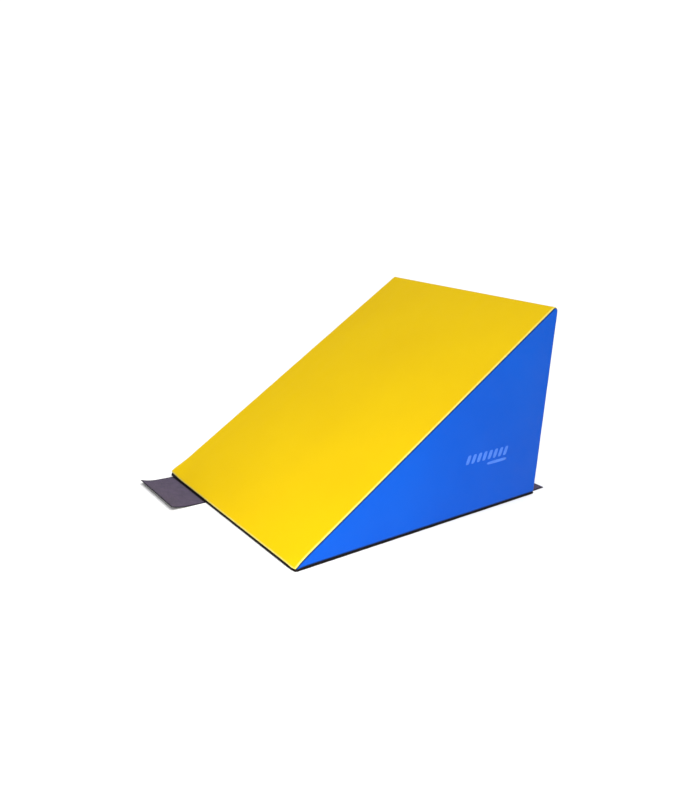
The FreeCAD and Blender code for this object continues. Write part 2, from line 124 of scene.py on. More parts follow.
def spread(span, fine, coarse, growth=1.35, graded=0.8):
    """Shares from 0 to 1 along a span, close together at both ends, whose graded part is limited."""
    steps = []
    step = fine
    while step < coarse and 2 * (sum(steps) + step) < span * graded:
        steps.append(step)
        step *= growth
    rest = span - 2 * sum(steps)
    count = max(1, round(rest / coarse))
    every = steps + [rest / count] * count + steps[::-1]
    return np.concatenate([[0], np.cumsum(every)]) / span


def places_from(low, high, fine, coarse):
    return low + spread(high - low, fine, coarse) * (high - low)


def places_across(span, fine, coarse):
    return (spread(span, fine, coarse) - 0.5) * span


def soft_noise(u, v, seed):
    """Smooth noise from -1 to 1 with hills one unit apart."""
    cells = 64
    lattice = np.random.default_rng(seed).uniform(-1, 1, (cells, cells))
    left, low = np.floor(u).astype(int), np.floor(v).astype(int)
    fu, fv = u - left, v - low
    fu, fv = fu * fu * (3 - 2 * fu), fv * fv * (3 - 2 * fv)
    a, b = lattice[left % cells, low % cells], lattice[(left + 1) % cells, low % cells]
    c, d = lattice[left % cells, (low + 1) % cells], lattice[(left + 1) % cells, (low + 1) % cells]
    return (a * (1 - fu) + b * fu) * (1 - fv) + (c * (1 - fu) + d * fu) * fv


def smooth_step(value, start, end):
    share = np.clip((value - start) / (end - start), 0, 1)
    return share * share * (3 - 2 * share)


def nearest(points, line, filled=False):
    """The nearest places on a closed outline, or inside it where it is filled, and how far they are."""
    run = np.roll(line, -1, axis=0) - line
    keep = np.linalg.norm(run, axis=1) > TINY
    start, run = line[keep], run[keep]
    rel = points[:, None] - start[None]
    share = np.clip((rel * run).sum(2) / (run * run).sum(1), 0, 1)
    foot = start + share[..., None] * run
    gap = np.linalg.norm(points[:, None] - foot, axis=2)
    found = foot[np.arange(len(points)), gap.argmin(1)]
    if filled:
        inside = (run[:, 0] * rel[..., 1] - run[:, 1] * rel[..., 0] >= 0).all(1)
        found[inside] = points[inside]
    return found, gap.min(1)


def xyz(x, y, z):
    """Places from their three coordinates, each an array or one number for all."""
    return np.stack(np.broadcast_arrays(x, y, z), axis=-1)


def skin(sharp):
    """Rounds the sharp wedge: the place and outward direction on the cover for each point of the sharp one.
    The foot's edge is rounded less in height, so its lowest stretch is drawn out first and then put back."""
    z = sharp[:, 2]
    drawn = sharp.copy()
    drawn[:, 2] = np.where(z < FOOT_ROUND, z * EDGE_ROUND / FOOT_ROUND, z + FOOT_SHIFT)
    core, _ = nearest(drawn[:, [0, 2]], CORE_OUTLINE, filled=True)
    core_y = np.clip(sharp[:, 1], -HALF_WIDTH + EDGE_ROUND, HALF_WIDTH - EDGE_ROUND)
    core = xyz(core[:, 0], core_y, core[:, 1])
    out = drawn - core
    out /= np.linalg.norm(out, axis=1, keepdims=True)
    place = core + EDGE_ROUND * out
    z = place[:, 2]
    place[:, 2] = np.where(z < EDGE_ROUND, z * FOOT_ROUND / EDGE_ROUND, z - FOOT_SHIFT)
    return place, out


def grid(us, vs):
    """Every pair of the two lists' values, as two flat arrays, and the faces between neighbours."""
    u, v = np.meshgrid(us, vs, indexing="ij")
    index = np.arange(u.size).reshape(u.shape)
    corners = [index[:-1, :-1], index[1:, :-1], index[1:, 1:], index[:-1, 1:]]
    return u.ravel(), v.ravel(), np.stack([c.ravel() for c in corners], axis=1)


def joined(parts):
    """Several meshes as one. A part is its arrays, one value for each point, and last its faces."""
    starts = np.cumsum([0] + [len(part[0]) for part in parts[:-1]])
    faces = np.concatenate([part[-1] + start for part, start in zip(parts, starts)])
    return *(np.concatenate(arrays) for arrays in zip(*(part[:-1] for part in parts))), faces


def facing_out(points, normals, faces):
    """The faces, turned over if they face against the outward directions."""
    a, b, d = points[faces[:, 0]], points[faces[:, 1]], points[faces[:, 3]]
    flat = (np.cross(b - a, d - a) * normals[faces[:, 0]]).sum()
    return faces if flat > 0 else faces[:, ::-1]


def thicken(points, normals, faces, depth):
    """A closed sheet: the outer layer, the same layer moved inwards by depth, and a rim on each free edge."""
    used = np.unique(faces)
    renumber = np.zeros(len(points), int)
    renumber[used] = np.arange(len(used))
    points, normals, faces = points[used], normals[used], renumber[faces]
    faces = facing_out(points, normals, faces)
    count = len(points)
    edges = np.concatenate([faces[:, [i, (i + 1) % 4]] for i in range(4)])
    _, first, uses = np.unique(np.sort(edges, axis=1), axis=0, return_index=True, return_counts=True)
    free = edges[first[uses == 1]]
    rim = np.stack([free[:, 1], free[:, 0], free[:, 0] + count, free[:, 1] + count], axis=1)
    both = np.concatenate([points, points - normals * depth])
    return both, np.concatenate([faces, faces[:, ::-1] + count, rim]), used


def linked(name, data):
    """A new object, linked into the scene."""
    obj = bpy.data.objects.new(name, data)
    bpy.context.scene.collection.objects.link(obj)
    return obj


def make_object(name, points, faces, material, smooth=True):
    mesh = bpy.data.meshes.new(name)
    mesh.from_pydata(np.asarray(points, float).tolist(), [], [list(map(int, f)) for f in faces])
    mesh.materials.append(material)
    mesh.polygons.foreach_set("use_smooth", [smooth] * len(mesh.polygons))
    mesh.update()
    return linked(name, mesh)


def sharpen(obj, angle=50):
    """Smooth shading that keeps the corners sharper than the angle crisp."""
    mesh = bmesh.new()
    mesh.from_mesh(obj.data)
    for edge in mesh.edges:
        edge.smooth = len(edge.link_faces) == 2 and edge.calc_face_angle(0) < math.radians(angle)
    mesh.to_mesh(obj.data)
    mesh.free()
    return obj


def make_sheet(name, points, normals, faces, depth, material, seam_gap=None):
    """A closed sheet of cloth. seam_gap is how far each point is from a seam, for the cloth's material."""
    closed, closed_faces, used = thicken(points, normals, faces, depth)
    obj = make_object(name, closed, closed_faces, material)
    if seam_gap is not None:
        attribute = obj.data.attributes.new("seam_gap", "FLOAT", "POINT")
        attribute.data.foreach_set("value", np.tile(seam_gap[used], 2).astype(np.float32))
    return sharpen(obj)


def applied(obj):
    """The object with its modifiers made part of its mesh."""
    graph = bpy.context.evaluated_depsgraph_get()
    mesh = bpy.data.meshes.new_from_object(obj.evaluated_get(graph))
    obj.modifiers.clear()
    obj.data = mesh
    return obj


def repeated(points, faces, places):
    """The same small shape at each place, as one mesh."""
    many = (points[None] + np.asarray(places)[:, None]).reshape(-1, 3)
    shifts = np.arange(len(places)) * len(points)
    return many, [[i + s for i in f] for s in shifts for f in faces]


def stand_in(piece, slot, *nodes, body="root"):
    """The piece rides on a body and stands for its CAD nodes, which it hides. Its slot is not used."""
    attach(piece, body)
    if nodes:
        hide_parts(*nodes)


# ---------------- materials


class Shader:
    """A node material with a few short ways to add to it. Lengths in it are metres, scales are per metre."""

    def __init__(self, name, **settings):
        self.material = bpy.data.materials.new(name)
        self.material.use_nodes = True
        self.tree = self.material.node_tree
        self.base = self.tree.nodes["Principled BSDF"]
        self.place = self.add("ShaderNodeTexCoord").outputs["Object"]
        for socket, value in settings.items():
            self.base.inputs[socket.replace("_", " ")].default_value = value

    def add(self, kind, links=(), **settings):
        node = self.tree.nodes.new(kind)
        for key, value in settings.items():
            setattr(node, key, value)
        for socket, value in dict(links).items():
            if isinstance(value, bpy.types.NodeSocket):
                self.tree.links.new(value, node.inputs[socket])
            else:
                node.inputs[socket].default_value = value
        return node

    def stretched(self, x, y, z):
        return self.add("ShaderNodeMapping", {"Vector": self.place, "Scale": (x, y, z)}).outputs["Vector"]

    def noise(self, scale, detail=2.0, rough=0.5, vector=None):
        links = {"Vector": vector or self.place, "Scale": scale, "Detail": detail, "Roughness": rough}
        return self.add("ShaderNodeTexNoise", links).outputs["Fac"]

    def cells(self, scale, feature="F1"):
        links = {"Vector": self.place, "Scale": scale}
        return self.add("ShaderNodeTexVoronoi", links, feature=feature).outputs["Distance"]

    def wave(self, scale, direction, distortion=0.0):
        links = {"Vector": self.place, "Scale": scale, "Distortion": distortion}
        return self.add("ShaderNodeTexWave", links, bands_direction=direction).outputs["Fac"]

    def remap(self, value, low, high, to_low=0.0, to_high=1.0):
        links = {0: value, 1: low, 2: high, 3: to_low, 4: to_high}
        return self.add("ShaderNodeMapRange", links, clamp=True).outputs[0]

    def math(self, operation, a, b):
        return self.add("ShaderNodeMath", {0: a, 1: b}, operation=operation).outputs[0]

    def mix(self, share, a, b):
        """A colour between a and b, each a colour or a socket."""
        colours = [c if isinstance(c, bpy.types.NodeSocket) else (*c, 1.0) for c in (a, b)]
        links = {0: share, 6: colours[0], 7: colours[1]}
        return self.add("ShaderNodeMix", links, data_type="RGBA").outputs[2]

    def set(self, socket, value):
        self.tree.links.new(value, self.base.inputs[socket])

    def bump(self, height, distance, strength=1.0, under=None):
        links = {"Height": height, "Distance": distance, "Strength": strength}
        if under is not None:
            links["Normal"] = under
        return self.add("ShaderNodeBump", links).outputs["Normal"]


def vinyl(name, colour, deep, pale, dark, highlight_reach, shade_reach):
    """PVC-coated cloth: a fine leather emboss over a faint woven ground. Up to one reach from a seam its
    colour is paler, a painted highlight of patchy strength, and within another reach of a seam it is dark, a
    painted shade."""
    s = Shader(name, Specular_IOR_Level=0.08)
    inner = 0.3
    gap = s.add("ShaderNodeAttribute", attribute_name="seam_gap").outputs["Fac"]
    tone = s.mix(s.remap(s.noise(2.2, 3.0), 0.35, 0.65), colour, deep)
    # A painted highlight: the colour turns pale near each seam, with patchy strength.
    patchy = s.remap(s.noise(40.0), 0.3, 0.7, 0.6, 0.85)
    highlight_share = s.math("MULTIPLY", s.remap(gap, inner * highlight_reach, highlight_reach, 1.0, 0.0), patchy)
    tone = s.mix(highlight_share, tone, pale)
    # A painted shade: the colour turns dark right beside each seam.
    tone = s.mix(s.remap(gap, inner * shade_reach, shade_reach, 0.86, 0.0), tone, dark)
    s.set("Base Color", tone)
    ground = s.math("ADD", s.wave(260.0, "X"), s.wave(260.0, "Z"))
    bumps = s.bump(ground, 0.08 * MM, 0.6)
    bumps = s.bump(s.cells(620.0), 0.34 * MM, 0.9, bumps)
    bumps = s.bump(s.noise(2600.0), 0.08 * MM, 0.6, bumps)
    s.set("Normal", bumps)
    scuff = s.noise(9.0, 4.0, 0.65, s.stretched(1.0, 3.0, 1.0))
    s.set("Roughness", s.remap(scuff, 0.3, 0.7, 0.36, 0.5))
    return s.material


def coated_base(name, colour, dusty):
    """The heavy non-slip cloth underneath, near black with a pebble grain and a little dust."""
    s = Shader(name, Specular_IOR_Level=0.12)
    dust = s.remap(s.noise(14.0, 4.0, 0.7), 0.5, 0.8, 0.0, 0.35)
    s.set("Base Color", s.mix(dust, colour, dusty))
    s.set("Normal", s.bump(s.cells(420.0, "SMOOTH_F1"), 0.4 * MM, 0.8))
    s.set("Roughness", s.remap(s.noise(60.0), 0.3, 0.7, 0.5, 0.68))
    return s.material


def woven(name, colour, deep, pitch, axes="XY", depth=0.18 * MM):
    """Plain-woven cloth: two sets of threads a pitch apart."""
    s = Shader(name, Roughness=0.8, Sheen_Weight=0.02, Specular_IOR_Level=0.12)
    scale = 1 / pitch / 3.2
    weave = s.math("MULTIPLY", s.wave(scale, axes[0], 0.4), s.wave(scale, axes[1], 0.4))
    shade = s.math("ADD", s.math("MULTIPLY", weave, 0.5), s.math("MULTIPLY", s.noise(90.0, 3.0), 0.6))
    s.set("Base Color", s.mix(s.remap(shade, 0.2, 0.8), deep, colour))
    s.set("Normal", s.bump(weave, depth, 0.8, s.bump(s.noise(1500.0), 0.1 * MM, 0.5)))
    return s.material


def pile(name, colour, deep, high):
    """A fuzzy loop or hook face: tiny curls of thread that catch the light at their tips."""
    s = Shader(name, Roughness=0.95, Sheen_Weight=0.08, Sheen_Roughness=0.5, Specular_IOR_Level=0.1)
    curls = s.cells(900.0)
    tone = s.mix(s.remap(s.noise(38.0, 4.0, 0.65), 0.35, 0.65), deep, colour)
    tone = s.mix(s.remap(curls, 0.0, 0.6, 0.45, 0.0), tone, high)
    s.set("Base Color", tone)
    s.set("Normal", s.bump(curls, 0.6 * MM, 0.9, s.bump(s.noise(300.0, 3.0), 0.8 * MM, 0.6)))
    return s.material


def moulded(name, colour, deep, rough, specular=0.4, grain=700.0):
    """Moulded plastic, enamel, thread or ink, with a fine grain."""
    s = Shader(name, Specular_IOR_Level=specular)
    s.set("Base Color", s.mix(s.remap(s.noise(25.0, 3.0), 0.3, 0.7), colour, deep))
    s.set("Normal", s.bump(s.noise(grain), 0.05 * MM, 0.6))
    s.set("Roughness", s.remap(s.noise(120.0), 0.3, 0.7, rough - 0.08, rough + 0.08))
    return s.material


def metal(name, colour, deep, rough):
    """Plated metal, rubbed brighter in places, with fine scratches."""
    s = Shader(name, Metallic=1.0)
    s.set("Base Color", s.mix(s.remap(s.noise(300.0, 4.0), 0.35, 0.65), colour, deep))
    scratches = s.noise(900.0, 3.0, vector=s.stretched(1.0, 14.0, 1.0))
    s.set("Roughness", s.remap(scratches, 0.3, 0.7, rough - 0.1, rough + 0.12))
    s.set("Normal", s.bump(scratches, 0.02 * MM, 0.5))
    return s.material


def foam_skin(name, colour, deep):
    """Cut polyurethane foam: a cream open-cell face."""
    s = Shader(name, Roughness=0.95, Specular_IOR_Level=0.1)
    cells = s.cells(480.0)
    s.set("Base Color", s.mix(s.remap(cells, 0.1, 0.7), deep, colour))
    s.set("Normal", s.bump(cells, 1.2 * MM, 0.9, s.bump(s.noise(70.0, 4.0), 1.0 * MM, 0.4)))
    return s.material


# Each vinyl's pale and dark colours are a painted highlight and a painted shade along its seams.
YELLOW = vinyl("yellow_vinyl", (0.665, 0.448, 0.001), (0.645, 0.426, 0.001), pale=(0.76, 0.72, 0.24),
               dark=(0.05, 0.045, 0.004), highlight_reach=11 * MM, shade_reach=2.4 * MM)
BLUE = vinyl("blue_vinyl", (0.0, 0.088, 0.54), (0.0, 0.079, 0.51), pale=(0.0, 0.10, 0.58),
             dark=(0.003, 0.014, 0.055), highlight_reach=14 * MM, shade_reach=9.5 * MM)
BASE_CLOTH = coated_base("base_cloth", (0.006, 0.0035, 0.0025), (0.024, 0.018, 0.014))
FLAP_CLOTH = woven("flap_cloth", (0.018, 0.015, 0.024), (0.008, 0.007, 0.011), 0.9 * MM)
LOOP_PILE = pile("loop_pile", (0.076, 0.057, 0.098), (0.058, 0.046, 0.076), (0.108, 0.086, 0.132))
HOOK_TAPE = pile("hook_tape", (0.020, 0.019, 0.026), (0.012, 0.012, 0.016), (0.05, 0.05, 0.06))
ZIP_TAPE = woven("zip_tape", (0.020, 0.021, 0.026), (0.009, 0.009, 0.012), 0.7 * MM, "YZ")
ZIP_TEETH = moulded("zip_teeth", (0.016, 0.017, 0.022), (0.010, 0.010, 0.014), 0.36)
ZIP_ENAMEL = moulded("zip_enamel", (0.022, 0.022, 0.025), (0.012, 0.012, 0.014), 0.28, 0.5, 300.0)
EYELET_METAL = metal("eyelet_metal", (0.70, 0.69, 0.66), (0.55, 0.54, 0.52), 0.28)
FOAM = foam_skin("foam", (0.80, 0.72, 0.50), (0.62, 0.52, 0.30))
LABEL_CLOTH = woven("label_cloth", (0.82, 0.82, 0.80), (0.74, 0.74, 0.72), 0.35 * MM, "YZ", 0.06 * MM)
THREAD_BLUE = moulded("thread_blue", (0.010, 0.10, 0.52), (0.006, 0.08, 0.44), 0.6, 0.3, 2200.0)
THREAD_DARK = moulded("thread_dark", (0.03, 0.028, 0.04), (0.018, 0.017, 0.024), 0.6, 0.3, 2200.0)
THREAD_WHITE = moulded("thread_white", (0.75, 0.75, 0.73), (0.66, 0.66, 0.64), 0.6, 0.3, 2200.0)
PRINT_INK = moulded("print_ink", (0.065, 0.20, 0.70), (0.05, 0.17, 0.66), 0.5, 0.2)

# ---------------- how the cover's cloth stands out

SHELL_VOXEL = 26 * MM
SHELL_HELD = 22 * MM
SHELL_FRAMES = 20
SHELL_PRESSURE = 4.0
PUFF = 2.6 * MM


class Puff:
    """The cover under a little air: a coarse closed shell swells in a cloth simulation, held on its seams."""

    def __init__(self):
        shell = self.closed_shell()
        self.rest = self.places_of(shell.data)
        self.faces = [list(f.vertices) for f in shell.data.polygons]
        outward = np.array([list(v.normal) for v in shell.data.vertices])
        moved = self.simulated(shell)
        lift = np.clip(((moved - self.rest) * outward).sum(1), 0, None)
        self.share = lift / lift.max()
        self.tree = BVHTree.FromPolygons(self.rest.tolist(), self.faces)
        bpy.data.objects.remove(shell)

    @staticmethod
    def closed_shell():
        n = len(WHOLE_OUTLINE)
        points = [(x, y, z) for y in (-HALF_WIDTH, HALF_WIDTH) for x, z in WHOLE_OUTLINE]
        faces = [list(range(n)), list(range(2 * n - 1, n - 1, -1))]
        faces += [[(i + 1) % n, i, i + n, (i + 1) % n + n] for i in range(n)]
        shell = make_object("cover_shell", points, faces, FOAM)
        modifier = shell.modifiers.new("voxels", "REMESH")
        modifier.mode = "VOXEL"
        modifier.voxel_size = SHELL_VOXEL
        return applied(shell)

    @staticmethod
    def places_of(mesh):
        return np.array([list(v.co) for v in mesh.vertices])

    def held_points(self):
        """The shell's points on the seams, and those under it, which the floor holds."""
        x, y, z = self.rest.T
        _, from_outline = nearest(self.rest[:, [0, 2]], WHOLE_OUTLINE)
        side_seam = from_outline + HALF_WIDTH - np.abs(y)
        across = [(-HALF_LENGTH, LIP), (HALF_LENGTH, LIP), (HALF_LENGTH, TURN)]
        gaps = [np.hypot(x - seam_x, z - seam_z) for seam_x, seam_z in across]
        gap = np.minimum.reduce([side_seam, *gaps, z])
        return np.nonzero(gap < SHELL_HELD)[0].tolist()

    def simulated(self, shell):
        """The shell's points after the cloth simulation."""
        held = shell.vertex_groups.new(name="held")
        held.add(self.held_points(), 1.0, "REPLACE")
        modifier = shell.modifiers.new("cloth", "CLOTH")
        modifier.settings.vertex_group_mass = "held"
        modifier.settings.use_pressure = True
        modifier.settings.uniform_pressure_force = SHELL_PRESSURE
        modifier.settings.effector_weights.gravity = 0.0
        modifier.point_cache.frame_start = 1
        modifier.point_cache.frame_end = SHELL_FRAMES
        scene = bpy.context.scene
        for step in range(1, SHELL_FRAMES + 1):
            scene.frame_set(step)
        graph = bpy.context.evaluated_depsgraph_get()
        moved = self.places_of(shell.evaluated_get(graph).data)
        scene.frame_set(1)
        return moved

    def at(self, points):
        """How far the cloth stands out at each point of the sharp wedge."""
        found = np.zeros(len(points))
        for i, point in enumerate(points):
            place, _, face, _ = self.tree.find_nearest(point)
            corners = self.faces[face]
            weights = poly_3d_calc([Vector(self.rest[c]) for c in corners], place)
            found[i] = sum(w * self.share[c] for w, c in zip(weights, corners))
        return PUFF * found


SEAM_DEPTH = 2.6 * MM
SEAM_WIDTH = 2.3 * MM
SWELL = 0.8 * MM
SWELL_REACH = 12 * MM
PUCKER = 0.55 * MM
PUCKER_LENGTH = 26 * MM
PUCKER_REACH = 16 * MM
SMALL_PUCKER = 0.6
SMALL_PUCKERS = 2.3
CROWN = 1.8 * MM
CROWN_REACH = 110 * MM
LONG_WAVE = 0.5 * MM


def groove(gap):
    """The cloth's dip on a seam."""
    return -SEAM_DEPTH * np.exp(-((gap / SEAM_WIDTH) ** 2))


def seam_shape(gap, along, seed):
    """How far the cloth stands out beside a seam: the groove, a soft swell beside it, and small puckers."""
    swell = SWELL * gap / SWELL_REACH * np.exp(1 - gap / SWELL_REACH)
    ripple = soft_noise(along / PUCKER_LENGTH, gap / (2 * PUCKER_REACH), seed)
    small = soft_noise(along / PUCKER_LENGTH * SMALL_PUCKERS, gap / PUCKER_REACH, seed + 1)
    fade = np.exp(-gap / PUCKER_REACH) * (1 - np.exp(-gap / SEAM_WIDTH))
    return groove(gap) + swell + PUCKER * (ripple + SMALL_PUCKER * small) * fade


def crowned(*gaps):
    """A full face: flat in the middle and easing down to each of its seams."""
    out = np.ones_like(gaps[0])
    for gap in gaps:
        out = out * (1 - np.exp(-gap / CROWN_REACH))
    return out


TOE_DIP = 4.0 * MM
DIP_REACH = (60 * MM, 55 * MM)
TOE_STAND = 7.0 * MM
STAND_REACH = (90 * MM, 110 * MM)
TOE_PULL = 4.0 * MM
PULL_REACH = (30 * MM, 30 * MM)
CORNER_LIP = 4.8 * MM
CORNER_REACH = 13 * MM


def to_toe_corner(x, y, reach):
    """From 0 to 1 towards the toe's corner on the side where y is positive, within reach along x and y."""
    along = smooth_step(-x, HALF_LENGTH - reach[0], HALF_LENGTH)
    return along * smooth_step(y, HALF_WIDTH - reach[1], HALF_WIDTH)


def settle(points, sharp):
    """The toe's uneven corners, which every panel that meets there follows: the cloth is pulled down and in
    at the right-hand one, and the foam stands up at the left-hand one."""
    x, y, z = sharp.T
    lift = TOE_STAND * to_toe_corner(x, y, STAND_REACH) - TOE_DIP * to_toe_corner(x, -y, DIP_REACH)
    lift = lift * smooth_step(z, LIP / 4, TOE_RISE)
    pull = TOE_PULL * to_toe_corner(x, -y, PULL_REACH)
    return points + np.outer(lift, UP) + np.outer(pull, AHEAD)


def lip_at(x, y):
    """The height of the base's lip, which climbs at the toe's right-hand corner."""
    away = (x + HALF_LENGTH) + (y + HALF_WIDTH)
    return LIP + CORNER_LIP * np.exp(-((away / CORNER_REACH) ** 2))


# ---------------- the cover's panels

ACROSS = places_across(WIDTH, 1.0 * MM, 9 * MM)
ALONG = places_across(LENGTH, 1.2 * MM, 9 * MM)
TOP_FINE, TOP_COARSE = 1.2 * MM, 7.5 * MM
TOE_STIFF = 20 * MM
TURN_STIFF = 50 * MM
TOP_WAVES = (0.21, 0.24)
SIDE_WAVES = (0.23, 0.19)
BACK_WAVES = (0.2, 0.16)
RIGHT_SEED, LEFT_SEED = 31, 37


def long_waves(a, b, lengths, seed):
    return LONG_WAVE * soft_noise(a / lengths[0], b / lengths[1], seed)


def cover_panel(name, sharp, faces, height, gap, material, slot, node):
    """Rounds the sharp points, moves them out by height, and makes the closed sheet for a CAD panel."""
    points, out = skin(sharp)
    points = settle(points + out * height[:, None], sharp)
    piece = make_sheet(name, points, out, faces, CLOTH, material, gap)
    stand_in(piece, slot, node)
    return piece


def top_points(s, y):
    """Places on the sharp wedge, s along the yellow panel's line. The toe's face follows the lip's height."""
    x = np.interp(s, BELT_PLACES, BELT[:, 0])
    z = np.interp(s, BELT_PLACES, BELT[:, 1])
    lip = lip_at(-HALF_LENGTH, y)
    toe_face = TOE_RISE - (TOE_RISE - z) * (TOE_RISE - lip) / (TOE_RISE - LIP)
    return xyz(x, y, np.where(s < TOE_RISE - LIP, toe_face, z))


def make_top():
    s, y, faces = grid(places_from(0, BELT_LENGTH, TOP_FINE, TOP_COARSE), ACROSS)
    side_gap = HALF_WIDTH - np.abs(y)
    end_gap = np.minimum(s, BELT_LENGTH - s)
    gap = np.minimum(side_gap, end_gap)
    from_toe, from_turn = np.maximum(s - TOE_STIFF, 0), np.maximum(BELT_LENGTH - s - TURN_STIFF, 0)
    height = seam_shape(gap, s, 11) + CROWN * crowned(side_gap, from_toe, from_turn)
    height += long_waves(s, y, TOP_WAVES, 21) * crowned(side_gap, end_gap)
    sharp = top_points(s, y)
    height += puff.at(sharp)
    piece = cover_panel("cover_top", sharp, faces, height, gap, YELLOW, "yellow_vinyl", "top_panel")


def side_height(sharp, seed):
    """How far a side panel stands out at each point, and how far the point is from a seam."""
    x, _, z = sharp.T
    _, gap = nearest(sharp[:, [0, 2]], SIDE_OUTLINE)
    along = x * math.cos(PITCH) + z * math.sin(PITCH)
    height = seam_shape(gap, along, seed) + CROWN * crowned(gap)
    height += long_waves(x, z, SIDE_WAVES, seed + 5) * crowned(gap)
    return height + puff.at(sharp), gap


def make_side(name, side, node, seed):
    arc = top_arc(TOP_ROUND)[::-1]
    roof = np.interp(ALONG, [-HALF_LENGTH, *arc[:, 0]], [TOE_RISE, *arc[:, 1]])
    lip = lip_at(ALONG, side * HALF_WIDTH)
    column, share, faces = grid(np.arange(len(ALONG)), spread(HEIGHT, 1.0 * MM, 9 * MM))
    sharp = xyz(ALONG[column], side * HALF_WIDTH, lip[column] + share * (roof - lip)[column])
    height, gap = side_height(sharp, seed)
    piece = cover_panel(name, sharp, faces, height, gap, BLUE, "blue_vinyl", node)


BACK_SHADE = 1.9
BACK_PUFF = 0.6
BACK_CROWN = 0.3
BACK_WAVE = 0.8
BACK_EASE = 60 * MM
VENT_OPEN = 7.5 * MM
VENT_FLAT = 14 * MM
VENT_EASE = 60 * MM
VENT_STEPS = 13
NO_SEAM = 1.0


def make_back(name, node, low, high, seed, seam_low=False, seam_high=False):
    """A back panel from low to high: sewn into the cover at a seam, and hemmed along the zip elsewhere."""
    ys, zs = ACROSS, places_from(low, high, 1.2 * MM, 9 * MM)
    vents = VENTS if low < VENT_Z < high else []
    ring = np.linspace(-VENT_FLAT, VENT_FLAT, VENT_STEPS)
    for vent_y, vent_z in vents:
        ys, zs = np.concatenate([ys, vent_y + ring]), np.concatenate([zs, vent_z + ring])
    y, z, faces = grid(np.unique(ys.round(5)), np.unique(zs.round(5)))
    low_gap = z - low if seam_low else NO_SEAM
    high_gap = high - z if seam_high else NO_SEAM
    gap = np.minimum(np.minimum(low_gap, high_gap), HALF_WIDTH - np.abs(y))
    full = crowned(gap, z - low, high - z)
    height = seam_shape(gap, z + y, seed) + BACK_CROWN * CROWN * full
    height += BACK_WAVE * long_waves(y, z, BACK_WAVES, seed + 5) * full
    sharp = xyz(HALF_LENGTH, y, z)
    height += BACK_PUFF * puff.at(sharp) * smooth_step(np.minimum(z - low, high - z), 0, BACK_EASE)
    for vent_y, vent_z in vents:
        height *= smooth_step(np.hypot(y - vent_y, z - vent_z), VENT_FLAT, VENT_EASE)
        middle = np.hypot(y[faces].mean(1) - vent_y, z[faces].mean(1) - vent_z)
        faces = faces[middle > VENT_OPEN]
    piece = cover_panel(name, sharp, faces, height, BACK_SHADE * gap, BLUE, "blue_vinyl", node)


HOOK_BOXES = [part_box("toe_hook_patch"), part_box("back_hook_patch")]
HOOK_RELIEF = 1.3 * MM
HOOK_BORDER = 2 * MM
LIP_STEPS = 8


def tray_points(xs, ys, zs):
    """The sharp tray: the underside and the four walls round it, as one welded sheet."""
    x, y, faces = grid(xs, ys)
    parts = [(xyz(x, y, 0.0), faces)]
    for side in (-1, 1):
        x, z, faces = grid(xs, zs)
        parts.append((xyz(x, side * HALF_WIDTH, z), faces[:, ::side]))
        y, z, faces = grid(ys, zs)
        parts.append((xyz(side * HALF_LENGTH, y, z), faces[:, ::-side]))
    everywhere, faces = joined(parts)
    _, first, where = np.unique(everywhere.round(6), axis=0, return_index=True, return_inverse=True)
    return everywhere[first], where.ravel()[faces]


def make_base():
    """The tray: the underside and its turned-up lip, with a shallow relief over each hook patch."""
    xs, ys = ALONG, ACROSS
    for low, high in HOOK_BOXES:
        xs = np.concatenate([xs, [low.x - HOOK_BORDER, low.x, high.x, high.x + HOOK_BORDER]])
        ys = np.concatenate([ys, [low.y - HOOK_BORDER, low.y, high.y, high.y + HOOK_BORDER]])
    sharp, faces = tray_points(np.unique(xs.round(5)), np.unique(ys.round(5)), np.linspace(0, LIP, LIP_STEPS))
    x, y, z = sharp.T
    lip = lip_at(x, y)
    sharp[:, 2] *= lip / LIP
    gap = lip - sharp[:, 2]
    height = np.where(z > 0, seam_shape(gap, x + y, 61), 0)
    for low, high in HOOK_BOXES:
        over = (x > low.x - MM) & (x < high.x + MM) & (y > low.y - MM) & (y < high.y + MM)
        height = np.where(over & (z == 0), -HOOK_RELIEF, height)
    points, out = skin(sharp)
    points = settle(points + out * height[:, None], sharp)
    piece = make_sheet("cover_base", points, out, faces, CLOTH, BASE_CLOTH, gap)
    stand_in(piece, "base_cloth", "base_panel")


FOAM_GAP = 4.2 * MM
FOAM_MIDDLE = np.array([0.15, 0.25])
ZIP_ZONE = (0.1, 0.14)
TAPE_RELIEF = (18 * MM, 2 * MM)
CHAIN_RELIEF = (9 * MM, 6 * MM)
CHAIN_SPARE = 12 * MM


def foam_loop():
    """The wedge seen from the side, with points close together beside the zip."""
    bottom = np.linspace(HALF_LENGTH, -HALF_LENGTH, 60)[:, None] * [1, 0]
    slope = np.linspace(BELT[1], BELT[2], 70)[:-1]
    heights = zip((0.0, *ZIP_ZONE), (*ZIP_ZONE, TURN), (6, 21, 50))
    back_z = np.concatenate([np.linspace(low, high, steps)[1:] for low, high, steps in heights])
    back = np.stack([np.full(len(back_z), HALF_LENGTH), back_z], axis=1)
    return np.concatenate([bottom, slope, BELT[2:-1], back[::-1]])


